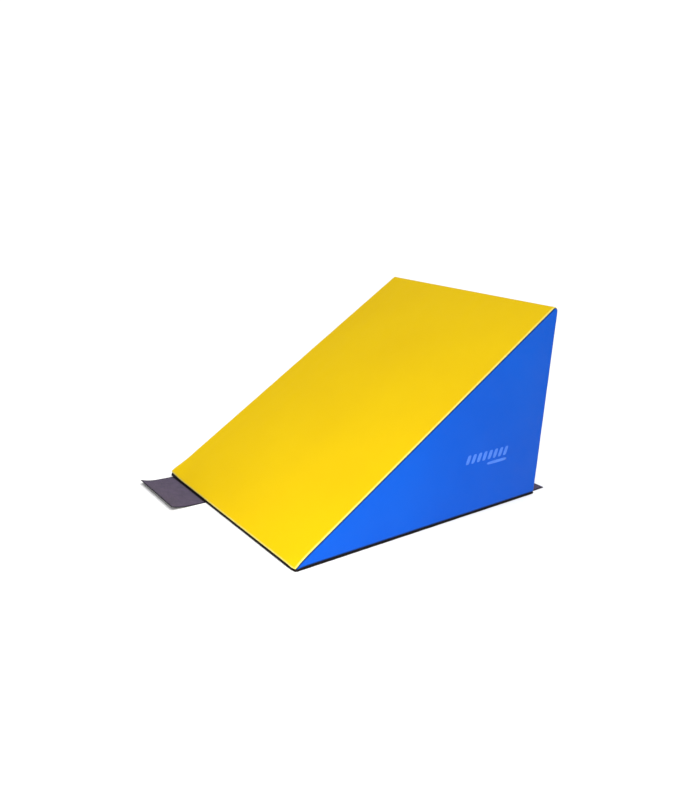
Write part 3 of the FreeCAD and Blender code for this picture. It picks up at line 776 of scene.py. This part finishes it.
def make_foam():
    """The block inside: the wedge's loop of points repeated across it, with rings that close each side."""
    loop = foam_loop()
    ys = places_across(WIDTH, 2 * MM, 20 * MM)
    shares = [*np.linspace(0, 1, 14)[1:-1], 0.985]
    stations = [(-HALF_WIDTH, k) for k in shares] + [(y, 1.0) for y in ys]
    stations += [(HALF_WIDTH, k) for k in shares[::-1]]
    rings = [np.insert(FOAM_MIDDLE + k * (loop - FOAM_MIDDLE), 1, y, axis=1) for y, k in stations]
    poles = xyz(FOAM_MIDDLE[0], [-HALF_WIDTH, HALF_WIDTH], FOAM_MIDDLE[1])
    sharp = np.concatenate([*rings, poles])
    n, rows = len(loop), len(stations)
    index = np.arange(rows * n).reshape(rows, n)
    turned = np.roll(index, -1, axis=1)
    quads = np.stack([index[:-1], index[1:], turned[1:], turned[:-1]], axis=-1).reshape(-1, 4).tolist()
    caps = [[rows * n, a, b] for a, b in zip(index[0], turned[0])]
    caps += [[rows * n + 1, b, a] for a, b in zip(index[-1], turned[-1])]
    points, out = skin(sharp)
    x, y, z = sharp.T
    on_back = (x > HALF_LENGTH - TINY) & (np.abs(y) < HALF_WIDTH - 1 * MM)
    by_chain = on_back & (np.abs(y) < ZIP_REACH + CHAIN_SPARE)
    depth = np.full(len(points), FOAM_GAP)
    for where, (reach, relief) in ((on_back, TAPE_RELIEF), (by_chain, CHAIN_RELIEF)):
        depth += np.where(where & (np.abs(z - ZIP_Z) < reach), relief, 0)
    points = settle(points - out * depth[:, None], sharp)
    piece = make_object("foam_block", points, quads + caps, FOAM)
    stand_in(piece, "foam", "foam_core")


# ---------------- the generic print on the right-hand side

PRINT_LEFT = 0.170
PRINT_Z = 0.2475
PRINT_BARS = 8
PRINT_PITCH = 31 * MM
PRINT_BAR = (19 * MM, 38 * MM, 12 * MM)
STRIPE_PLACE = (0.3485, 0.211)
STRIPE = (115 * MM, 13 * MM, 3 * MM)
PRINT_PROUD = 0.25 * MM
PRINT_THICK = 0.2 * MM
CORNER_CUT = 0.28


def print_bar(x, z, wide, tall, lean):
    """One leaning bar with round corners, laid on the side panel."""
    steps = np.linspace(-1, 1, 9)
    u, v, faces = grid(steps, steps)
    # A squircle keeps the corners of the grid inside rounded corners.
    ru, rv = u * np.sqrt(1 - v**4 * CORNER_CUT), v * np.sqrt(1 - u**4 * CORNER_CUT)
    sharp = xyz(x + ru * wide / 2 + rv * lean / 2, -HALF_WIDTH, z + rv * tall / 2)
    height, _ = side_height(sharp, RIGHT_SEED)
    points, out = skin(sharp)
    return points + out * (height + PRINT_PROUD)[:, None], out, faces


def make_print():
    """Plain leaning bars and a shorter stripe below them, in pale ink."""
    starts = [PRINT_LEFT + PRINT_BAR[0] / 2 + i * PRINT_PITCH for i in range(PRINT_BARS)]
    bars = [print_bar(x, PRINT_Z, *PRINT_BAR) for x in starts] + [print_bar(*STRIPE_PLACE, *STRIPE)]
    closed, closed_faces, _ = thicken(*joined(bars), PRINT_THICK)
    piece = make_object("print_bars", closed, closed_faces, PRINT_INK)
    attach(piece, "root")


# ---------------- stitches

STITCH = 3.4 * MM
STITCH_GAP = 0.9 * MM
THREAD = 0.45 * MM
THREAD_SIDES = 6
# Each ring of a stitch: its share of the length, its radius and its lift, in shares of the thread's radius.
STITCH_RINGS = [(0, 0.25, -0.5), (0.22, 0.85, 0.35), (0.5, 1, 0.75), (0.78, 0.85, 0.35), (1, 0.25, -0.5)]
STITCH_LIFT = 0.6


def stitch_faces():
    """The faces of one stitch: a tube through its rings, closed at both ends."""
    sides, rings = THREAD_SIDES, len(STITCH_RINGS)
    faces = []
    for low in range(0, (rings - 1) * sides, sides):
        for i in range(sides):
            j = (i + 1) % sides
            faces.append([low + i, low + j, low + sides + j, low + sides + i])
    return faces + [list(range(sides))[::-1], list(range((rings - 1) * sides, rings * sides))]


def stitch_mesh(name, rows, material, thread=THREAD):
    """Rows of stitches. Each row is (places, outward directions) along the line of sewing."""
    turns = np.linspace(0, 2 * math.pi, THREAD_SIDES + 1)[:-1]
    ring = [(math.cos(a), math.sin(a)) for a in turns]
    points, faces = [], []
    for places, outs in rows:
        lengths = np.concatenate([[0], np.cumsum(np.linalg.norm(np.diff(places, axis=0), axis=1))])
        for start in np.arange(0.3 * STITCH, lengths[-1] - STITCH, STITCH):
            ends = [start, start + STITCH - STITCH_GAP]
            a, b = (np.array([np.interp(e, lengths, places[:, i]) for i in range(3)]) for e in ends)
            out = np.array([np.interp(start, lengths, outs[:, i]) for i in range(3)])
            out /= np.linalg.norm(out)
            side = np.cross(b - a, out)
            side /= np.linalg.norm(side)
            base = len(points)
            for share, size, lift in STITCH_RINGS:
                centre = a + (b - a) * share + out * thread * lift * STITCH_LIFT
                points += [centre + (side * c + out * d) * thread * size for c, d in ring]
            faces += [[base + i for i in face] for face in stitch_faces()]
    return make_object(name, points, faces, material)


def back_row(y_start, y_end, z, proud):
    """A level row of stitches on the back, as stitch_mesh takes it."""
    x = HALF_LENGTH + proud
    return np.array([(x, y_start, z), (x, y_end, z)]), np.array([AHEAD, AHEAD])


# ---------------- the joining flaps

FLAP_THICK = 1.5 * MM
PILE_THICK = 1.5 * MM
PILE_SKIN = 0.5 * MM
PILE_START = 9 * MM
PILE_MARGIN = 5 * MM
FUZZ = ((0.30 * MM, 3.5 * MM, 81), (0.25 * MM, 12 * MM, 83))
SEW_IN = 5.5 * MM
STITCH_IN = 2.5 * MM
ROOT_STRETCH = 30 * MM
ROOT_STEPS = 22
FLAP_WAVE = 0.9 * MM
FLAP_WAVES = (0.07, 0.11)


class Flap:
    """A joining flap: a path out from the cover's foot, level for a stretch and then curling up on an arc."""

    def __init__(self, name, root_x, way, flat, radius, curl, low, high, fold):
        self.name, self.root_x, self.way = name, root_x, way
        self.flat, self.radius = flat, radius
        self.low, self.high = low, high
        self.fold = fold
        self.reach = flat + radius * curl

    def at(self, along, across, height):
        """Places and upward directions: along from the root, across from the low to the high edge."""
        turn = np.clip((along - self.flat) / self.radius, 0, None)
        x = np.minimum(along, self.flat) + self.radius * np.sin(turn)
        z = self.radius * (1 - np.cos(turn))
        wave = 1 + soft_noise(along / FLAP_WAVES[0] + 3, across / FLAP_WAVES[1], 71)
        z = z + FLAP_WAVE * wave * smooth_step(along, 0.02, 0.07)
        up = xyz(-self.way * np.sin(turn), 0.0, np.cos(turn))
        return xyz(self.root_x + self.way * x, across, z) + up * (FLAP_THICK + height)[:, None], up

    def bend(self, piece):
        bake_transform(piece)

    def make(self):
        self.make_cloth()
        self.make_pile()
        self.make_stitches()

    def make_cloth(self):
        """The flap's cloth, pressed thinner along its free edges."""
        root = np.linspace(0, ROOT_STRETCH, ROOT_STEPS)[:-1]
        free = places_from(ROOT_STRETCH, self.reach, 1.5 * MM, 4 * MM)
        sides = places_from(self.low, self.high, 1.5 * MM, 6 * MM)
        along, across, faces = grid(np.concatenate([root, free]), sides)
        edge = np.minimum(np.minimum(across - self.low, self.high - across), self.reach - along)
        pressed = np.exp(-((edge / MM) ** 2))
        points, up = self.at(along, across, -0.45 * FLAP_THICK * pressed)
        inwards = up * (1 - 0.7 * pressed)[:, None]
        piece = make_sheet(self.name + "_cloth", points, inwards, faces, FLAP_THICK, FLAP_CLOTH)
        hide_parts(self.name, self.name + "_sewn_edge")
        self.bend(piece)

    def pile_box(self, margin):
        """The loop patch's limits along and across, moved in by a margin."""
        sides = PILE_MARGIN + margin
        return PILE_START + margin, self.reach - sides, self.low + sides, self.high - sides

    def make_pile(self):
        first, last, low, high = self.pile_box(0)
        sides = places_from(low, high, 0.8 * MM, 2.4 * MM)
        along, across, faces = grid(places_from(first, last, 0.8 * MM, 2 * MM), sides)
        edge = np.minimum(np.minimum(across - low, high - across), np.minimum(along - first, last - along))
        fuzz = sum(high * soft_noise(along / hill, across / hill, seed) for high, hill, seed in FUZZ)
        height = PILE_THICK * (0.72 * (1 - np.exp(-edge / (1.2 * MM))) + 0.08)
        points, up = self.at(along, across, height + fuzz * smooth_step(edge, 0, 3 * MM))
        piece = make_sheet(self.name + "_pile", points, up, faces, PILE_SKIN, LOOP_PILE)
        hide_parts(self.name + "_loop")
        self.bend(piece)

    def make_stitches(self):
        """One line of stitches round the loop patch."""
        first, last, low, high = self.pile_box(STITCH_IN)
        corners = [(first, low), (last, low), (last, high), (first, high), (first, low)]
        steps = 60
        rows = []
        for start, end in zip(corners[:-1], corners[1:]):
            along, across = np.linspace(start, end, steps).T
            rows.append(self.at(along, across, np.full(steps, 0.62 * PILE_THICK)))
        piece = stitch_mesh(self.name + "_stitches", rows, THREAD_DARK, 0.5 * MM)
        self.bend(piece)


TOE_FLAT, TOE_RADIUS, TOE_CURL = 60 * MM, 240 * MM, math.radians(21.5)
TOE_FOLD = (-HALF_LENGTH - 1.5 * MM, -HALF_LENGTH - 16 * MM)
BACK_RADIUS, BACK_CURL = 500 * MM, 0.06
BACK_FOLD = (HALF_LENGTH - 0.5 * MM, HALF_LENGTH + 9 * MM)


def make_flaps():
    low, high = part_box("toe_flap")
    root = -HALF_LENGTH + SEW_IN
    Flap("toe_flap", root, -1, TOE_FLAT + SEW_IN, TOE_RADIUS, TOE_CURL, low.y, high.y, TOE_FOLD).make()
    low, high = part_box("back_flap")
    root = HALF_LENGTH - SEW_IN
    flat = high.x - root - BACK_RADIUS * BACK_CURL
    Flap("back_flap", root, 1, flat, BACK_RADIUS, BACK_CURL, low.y, high.y, BACK_FOLD).make()


HOOK_PITCH = 3.2 * MM
HOOK_MARGIN = 3 * MM
HOOK_TOP = 0.75 * MM
HOOK_GROUND = 0.4 * MM
# A hook's points in mm: its root, the stem, the bend and the tip.
HOOK_POINTS = [(0, 0, 0.75), (0.28, 0, 0.75), (0.14, 0.24, 0.75), (0.06, 0, 0.3), (0.3, 0, 0.3),
               (0.18, 0.2, 0.3), (0.35, 0, 0.08), (0.55, 0, 0.2), (0.45, 0.15, 0.14), (0.62, 0.07, 0.42)]
HOOK_FACES = [[0, 3, 4, 1], [1, 4, 5, 2], [2, 5, 3, 0], [3, 6, 7, 4], [4, 7, 8, 5], [5, 8, 6, 3],
              [6, 9, 7], [7, 9, 8], [8, 9, 6], [0, 1, 2]]


def make_hooks(name, node):
    """A hook patch under the base: a thin ground with rows of small stems, each with a bent tip."""
    low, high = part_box(node)
    x, y, faces = grid(np.linspace(low.x, high.x, 8), np.linspace(low.y, high.y, 12))
    points = xyz(x, y, HOOK_TOP)
    ground, ground_faces, _ = thicken(points, np.tile(-UP, (len(points), 1)), faces, HOOK_GROUND)
    rows = [np.arange(low[i] + HOOK_MARGIN, high[i] - HOOK_MARGIN, HOOK_PITCH) for i in (0, 1)]
    x, y, _ = grid(*rows)
    hooks, hook_faces = repeated(np.array(HOOK_POINTS) * MM, HOOK_FACES, xyz(x, y, 0.0))
    shifted = [[i + len(ground) for i in f] for f in hook_faces]
    every = np.concatenate([ground, hooks])
    piece = make_object(name, every, [*ground_faces.tolist(), *shifted], HOOK_TAPE, smooth=False)
    stand_in(piece, "hook_tape", node)


# ---------------- the zip

TOOTH_PITCH = 3.4 * MM
CHAIN_END = 2.2 * MM
TOOTH_DEPTH = (TEETH_HIGH.x - TEETH_LOW.x) / 2 / MM
# Each block of a tooth, in mm: half its depth, half its width, its near and far height, and its bevel.
TOOTH_BLOCKS = [(TOOTH_DEPTH, 0.95, 1.6, 4.0, 0.3), (1.0, 0.6, 0.9, 1.8, 0.1), (1.2, 1.1, 0.35, 1.1, 0.2)]


def tooth_shape(side):
    """One moulded tooth: a foot that grips the tape's cord, a neck, and a wider head that locks in the other
    row. The foot is as deep as the CAD row."""
    centre = (TEETH_HIGH.x + TEETH_LOW.x) / 2
    mesh = bmesh.new()
    for deep, half, near, far, bevel in TOOTH_BLOCKS:
        low = Vector((centre - deep * MM, -half * MM, near * MM))
        high = Vector((centre + deep * MM, half * MM, far * MM))
        made = bmesh.ops.create_cube(mesh, size=1.0)["verts"]
        for v in made:
            v.co = low + (high - low) * (v.co + Vector((0.5, 0.5, 0.5)))
        edges = list({e for v in made for e in v.link_edges})
        bmesh.ops.bevel(mesh, geom=edges, offset=bevel * MM, segments=1, affect="EDGES", profile=0.5)
    mesh.verts.ensure_lookup_table()
    points = np.array([tuple(v.co) for v in mesh.verts]) * [1, 1, side]
    faces = [[v.index for v in f.verts][::side] for f in mesh.faces]
    mesh.free()
    return points, faces


def make_teeth(name, node, side):
    shift = side * TOOTH_PITCH / 4
    ys = np.arange(-ZIP_REACH + CHAIN_END, ZIP_REACH - CHAIN_END, TOOTH_PITCH)
    many, faces = repeated(*tooth_shape(side), xyz(0.0, ys + shift, ZIP_Z))
    piece = make_object(name, many, faces, ZIP_TEETH, smooth=False)
    stand_in(piece, "zip_teeth", node)


# The tape's section: shares of its width from the chain outwards, and how thick it stands there, in mm.
TAPE_SHARES = np.array([0.0, 0.04, 0.08, 0.13, 0.18, 0.3, 0.5, 0.7, 0.9, 0.97, 1.0])
TAPE_SWELL = np.array([-0.1, 0.35, 0.5, 0.35, 0.0, 0.0, 0.05, 0.0, 0.0, 0.05, -0.1])
TAPE_DOWN = 0.45 * MM
TAPE_THICK = 0.5 * MM
TAPE_DROP = 1.1 * MM
TAPE_RIPPLE = 0.08 * MM
TAPE_STEPS = 260
TAPE_END = HALF_WIDTH - EDGE_ROUND - 1 * MM
DROP_START, DROP_END = ZIP_REACH + 4 * MM, ZIP_REACH + 10 * MM


def make_tape(name, node, side):
    """A woven tape with a cord along its inner edge, which drops behind the tabs at both ends."""
    low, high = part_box(node)
    inner, outer = (low.z, high.z)[::side]
    y, k, faces = grid(np.linspace(-TAPE_END, TAPE_END, TAPE_STEPS), np.arange(len(TAPE_SHARES)))
    ripple = TAPE_RIPPLE * soft_noise(y / 0.02, k * 0.4, 91)
    drop = TAPE_DROP * smooth_step(np.abs(y), DROP_START, DROP_END)
    x = high.x - TAPE_DOWN + TAPE_SWELL[k] * MM + ripple - drop
    points = xyz(x, y, inner + (outer - inner) * TAPE_SHARES[k])
    piece = make_sheet(name, points, np.tile(AHEAD, (len(points), 1)), faces, TAPE_THICK, ZIP_TAPE)
    stand_in(piece, "zip_tape", node)


def make_zip_stitches():
    """Two lines of stitches along each hem beside the zip."""
    end = HALF_WIDTH - 12 * MM
    hems = ((ZIP_GAP_LOW, -1), (ZIP_GAP_HIGH, 1))
    rows = [back_row(-end, end, z + way * back, 0.1 * MM) for z, way in hems for back in (3 * MM, 8.5 * MM)]
    piece = stitch_mesh("zip_stitches", rows, THREAD_BLUE)
    stand_in(piece, "blue_vinyl")


TAB_SUNK = 0.15 * MM
TAB_THICK = 0.9 * MM


def make_end_tabs():
    """Vinyl tabs that cover the tapes' ends and run into the side seams."""
    parts = []
    inner = ZIP_REACH + 10 * MM
    for side in (-1, 1):
        ys = side * places_from(inner, HALF_WIDTH, 1 * MM, 6 * MM)
        y, z, faces = grid(ys, np.linspace(ZIP_GAP_LOW, ZIP_GAP_HIGH, 9))
        place, out = skin(xyz(HALF_LENGTH, y, z))
        gap = HALF_WIDTH - np.abs(y)
        place = place + out * (groove(gap) - TAB_SUNK)[:, None]
        parts.append((place, out, gap, facing_out(place, out, faces)))
    points, normals, gaps, faces = joined(parts)
    piece = make_sheet("zip_end_tabs_cloth", points, normals, faces, TAB_THICK, BLUE, gaps)
    stand_in(piece, "blue_vinyl", "zip_end_tabs")


def softened(name, node, slot, material, width, body="root"):
    """A copy of a CAD node's mesh with its edges rounded as a casting's are."""
    mesh = bmesh.new()
    mesh.from_mesh(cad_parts[node].data)
    bmesh.ops.remove_doubles(mesh, verts=mesh.verts, dist=1e-6)
    bmesh.ops.dissolve_limit(mesh, angle_limit=math.radians(2), verts=mesh.verts, edges=mesh.edges)
    data = bpy.data.meshes.new(name)
    mesh.to_mesh(data)
    mesh.free()
    data.materials.clear()
    data.materials.append(material)
    piece = linked(name, data)
    modifier = piece.modifiers.new("round", "BEVEL")
    modifier.width = width
    modifier.segments = 2
    modifier.limit_method = "ANGLE"
    modifier.angle_limit = math.radians(30)
    applied(piece)
    piece.data.polygons.foreach_set("use_smooth", [True] * len(piece.data.polygons))
    sharpen(piece, 40)
    stand_in(piece, slot, node, body=body)


def make_zip():
    make_tape("zip_tape_up", "zip_tape_upper", 1)
    make_tape("zip_tape_low", "zip_tape_lower", -1)
    make_teeth("zip_teeth_up", "zip_teeth_upper", 1)
    make_teeth("zip_teeth_low", "zip_teeth_lower", -1)
    softened("zip_bottom_stop_moulded", "zip_bottom_stop", "zip_teeth", ZIP_TEETH, 0.4 * MM)
    softened("zip_top_stops_moulded", "zip_top_stops", "zip_teeth", ZIP_TEETH, 0.4 * MM)
    softened("zip_slider_cast", "zip_slider", "zip_metal", ZIP_ENAMEL, 0.3 * MM, "zip_slider")
    softened("zip_pull_cast", "zip_pull", "zip_metal", ZIP_ENAMEL, 0.35 * MM, "zip_pull")
    make_end_tabs()
    make_zip_stitches()


# ---------------- vents and label

LATHE_STEPS = 56
EYELET_BORE, EYELET_BARREL, EYELET_DEPTH = 6.0 * MM, 7.0 * MM, 2.4 * MM
ROLL_RADIUS, ROLL_HALF, ROLL_PROUD = 9.3 * MM, 2.6 * MM, 1.35 * MM
WASHER_BORE, WASHER_SHOULDER = 7.1 * MM, 8.5 * MM


def make_turned(name, profile, node):
    """Turns a closed profile of (radius, x) about each vent's middle."""
    radius, x = np.asarray(profile).T
    n = len(profile)
    i, j, _ = grid(np.arange(LATHE_STEPS), np.arange(n))
    turn = i * 2 * math.pi / LATHE_STEPS
    a, b, k = i * n, (i + 1) % LATHE_STEPS * n, (j + 1) % n
    faces = np.stack([a + j, a + k, b + k, b + j], axis=1)
    ring = [(xyz(x[j], y + radius[j] * np.cos(turn), z + radius[j] * np.sin(turn)), faces) for y, z in VENTS]
    piece = sharpen(make_object(name, *joined(ring), EYELET_METAL))
    stand_in(piece, "eyelet_metal", node)


def eyelet_profile():
    """The eyelet's section: a rolled flange outside, the barrel, and its turned end inside."""
    front, bore = HALF_LENGTH, EYELET_BORE
    turns = np.linspace(0, math.pi, 11)
    roll = [(ROLL_RADIUS + ROLL_HALF * math.cos(a), front + ROLL_PROUD * math.sin(a)) for a in turns]
    lip = [(bore + 0.15 * MM, front + 0.6 * MM), (bore, front - 0.2 * MM), (bore, front - EYELET_DEPTH)]
    return roll + lip + [(EYELET_BARREL, front - EYELET_DEPTH), (EYELET_BARREL, front + 0.05 * MM)]


def washer_profile():
    """The washer's section: flat, with its edges eased."""
    low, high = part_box("vent_washers")
    outer = (high.z - low.z) / 2
    rim = outer - 0.6 * MM
    ease = 0.1 * MM
    back = [(WASHER_BORE, low.x + ease), (WASHER_SHOULDER, low.x), (rim, low.x + ease)]
    front = [(rim, high.x - ease), (WASHER_SHOULDER, high.x - ease / 2), (WASHER_BORE, high.x - ease)]
    return back + [(outer, low.x + 0.5 * MM)] + front


LABEL_THICK = 0.3 * MM


def make_label():
    """The care label, left blank, sewn on along its top edge and lifting a little below."""
    low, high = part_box("care_label")
    y, z, faces = grid(np.linspace(low.y, high.y, 17), np.linspace(low.z, high.z, 27))
    hang = (high.z - z) / (high.z - low.z)
    lift = (0.5 + 1.5 * hang**2 + 0.5 * hang * soft_noise(y / 0.012, z / 0.02, 95)) * MM
    points = xyz(HALF_LENGTH + lift, y, z)
    out = np.tile(AHEAD, (len(y), 1))
    piece = make_sheet("care_label_cloth", points, out, faces, LABEL_THICK, LABEL_CLOTH)
    stand_in(piece, "label_cloth", "care_label")
    row = back_row(low.y + MM, high.y - MM, high.z - 3 * MM, 0.55 * MM)
    stand_in(stitch_mesh("care_label_stitches", [row], THREAD_WHITE, 0.3 * MM), "label_cloth")


# ---------------- floor, light and camera

FLOOR_HALF = 30.0
FLOOR_DROP = 0.2 * MM
WORLD_FELT = 0.36
WORLD_SEEN = 1.1


def make_floor():
    shader = Shader("floor", Roughness=0.9, Specular_IOR_Level=0.1)
    shader.set("Base Color", shader.mix(shader.noise(0.6), (0.93, 0.93, 0.93), (0.91, 0.91, 0.915)))
    steps = np.linspace(-FLOOR_HALF, FLOOR_HALF, 5)
    x, y, faces = grid(steps, steps)
    points = xyz(x, y, -FLOOR_DROP)
    faces = facing_out(points, np.tile(UP, (len(points), 1)), faces)
    make_object("floor", points, faces, shader.material)


def make_world():
    """White behind the object, and a dimmer grey as light."""
    world = bpy.data.worlds.new("studio")
    bpy.context.scene.world = world
    world.use_nodes = True
    tree = world.node_tree
    tree.nodes.clear()
    mixed = tree.nodes.new("ShaderNodeMixShader")
    for socket, strength in ((1, WORLD_FELT), (2, WORLD_SEEN)):
        shade = tree.nodes.new("ShaderNodeBackground")
        shade.inputs["Color"].default_value = WHITE
        shade.inputs["Strength"].default_value = strength
        tree.links.new(shade.outputs[0], mixed.inputs[socket])
    rays = tree.nodes.new("ShaderNodeLightPath")
    tree.links.new(rays.outputs["Is Camera Ray"], mixed.inputs[0])
    out = tree.nodes.new("ShaderNodeOutputWorld")
    tree.links.new(mixed.outputs[0], out.inputs[0])


def area_light(name, place, target, size, power):
    data = bpy.data.lights.new(name, "AREA")
    data.shape = "DISK"
    data.size = size
    data.energy = power
    light = linked(name, data)
    light.location = place
    light.rotation_euler = (Vector(target) - Vector(place)).to_track_quat("-Z", "Y").to_euler()


def sun_light(towards, spread_angle, strength):
    data = bpy.data.lights.new("sun", "SUN")
    data.angle = math.radians(spread_angle)
    data.energy = strength
    linked("sun", data).rotation_euler = Vector(towards).to_track_quat("Z", "Y").to_euler()


def make_camera(place, heading, dip, roll, lens, shift):
    """A camera at a place, heading from +Y towards +X, dipping below level, and rolled, all in degrees."""
    heading, dip, roll = (math.radians(a) for a in (heading, dip, roll))
    level = Vector((math.cos(heading), -math.sin(heading), 0))
    ahead = Vector((math.sin(heading), math.cos(heading), 0)) * math.cos(dip) - Vector(UP) * math.sin(dip)
    upright = level.cross(ahead)
    right = level * math.cos(roll) + upright * math.sin(roll)
    up = upright * math.cos(roll) - level * math.sin(roll)
    data = bpy.data.cameras.new("camera")
    data.sensor_width = 36.0
    data.lens = lens
    data.shift_y = shift
    camera = linked("camera", data)
    turn = Matrix((right, up, -ahead)).transposed()
    camera.matrix_world = Matrix.Translation(Vector(place)) @ turn.to_4x4()
    bpy.context.scene.camera = camera


puff = Puff()
make_foam()
make_top()
make_side("cover_side_right", -1, "side_panel_right", RIGHT_SEED)
make_side("cover_side_left", 1, "side_panel_left", LEFT_SEED)
make_back("cover_back_upper", "back_panel_upper", ZIP_GAP_HIGH, TURN, 41, seam_high=True)
make_back("cover_back_lower", "back_panel_lower", LIP, ZIP_GAP_LOW, 47, seam_low=True)
make_base()
make_print()
make_flaps()
make_hooks("toe_hook_tape", "toe_hook_patch")
make_hooks("back_hook_tape", "back_hook_patch")
make_zip()
make_turned("vent_eyelets_metal", eyelet_profile(), "vent_eyelets")
make_turned("vent_washers_metal", washer_profile(), "vent_washers")
make_label()

make_floor()
make_world()
sun_light((0.12, -0.25, 0.95), spread_angle=60.0, strength=2.75)
area_light("low_left", (-1.3, -1.9, 0.45), target=(-0.4, -0.5, 0.1), size=1.2, power=19.0)
area_light("over_toe", (-1.6, -1.0, 1.3), target=(-0.4, -0.2, 0.1), size=1.2, power=13.0)
make_camera((-1.8085, -2.2843, 1.2508), heading=37.976, dip=18.495, roll=2.594, lens=32.24, shift=0.031)

bpy.context.scene.view_settings.view_transform = "Standard"
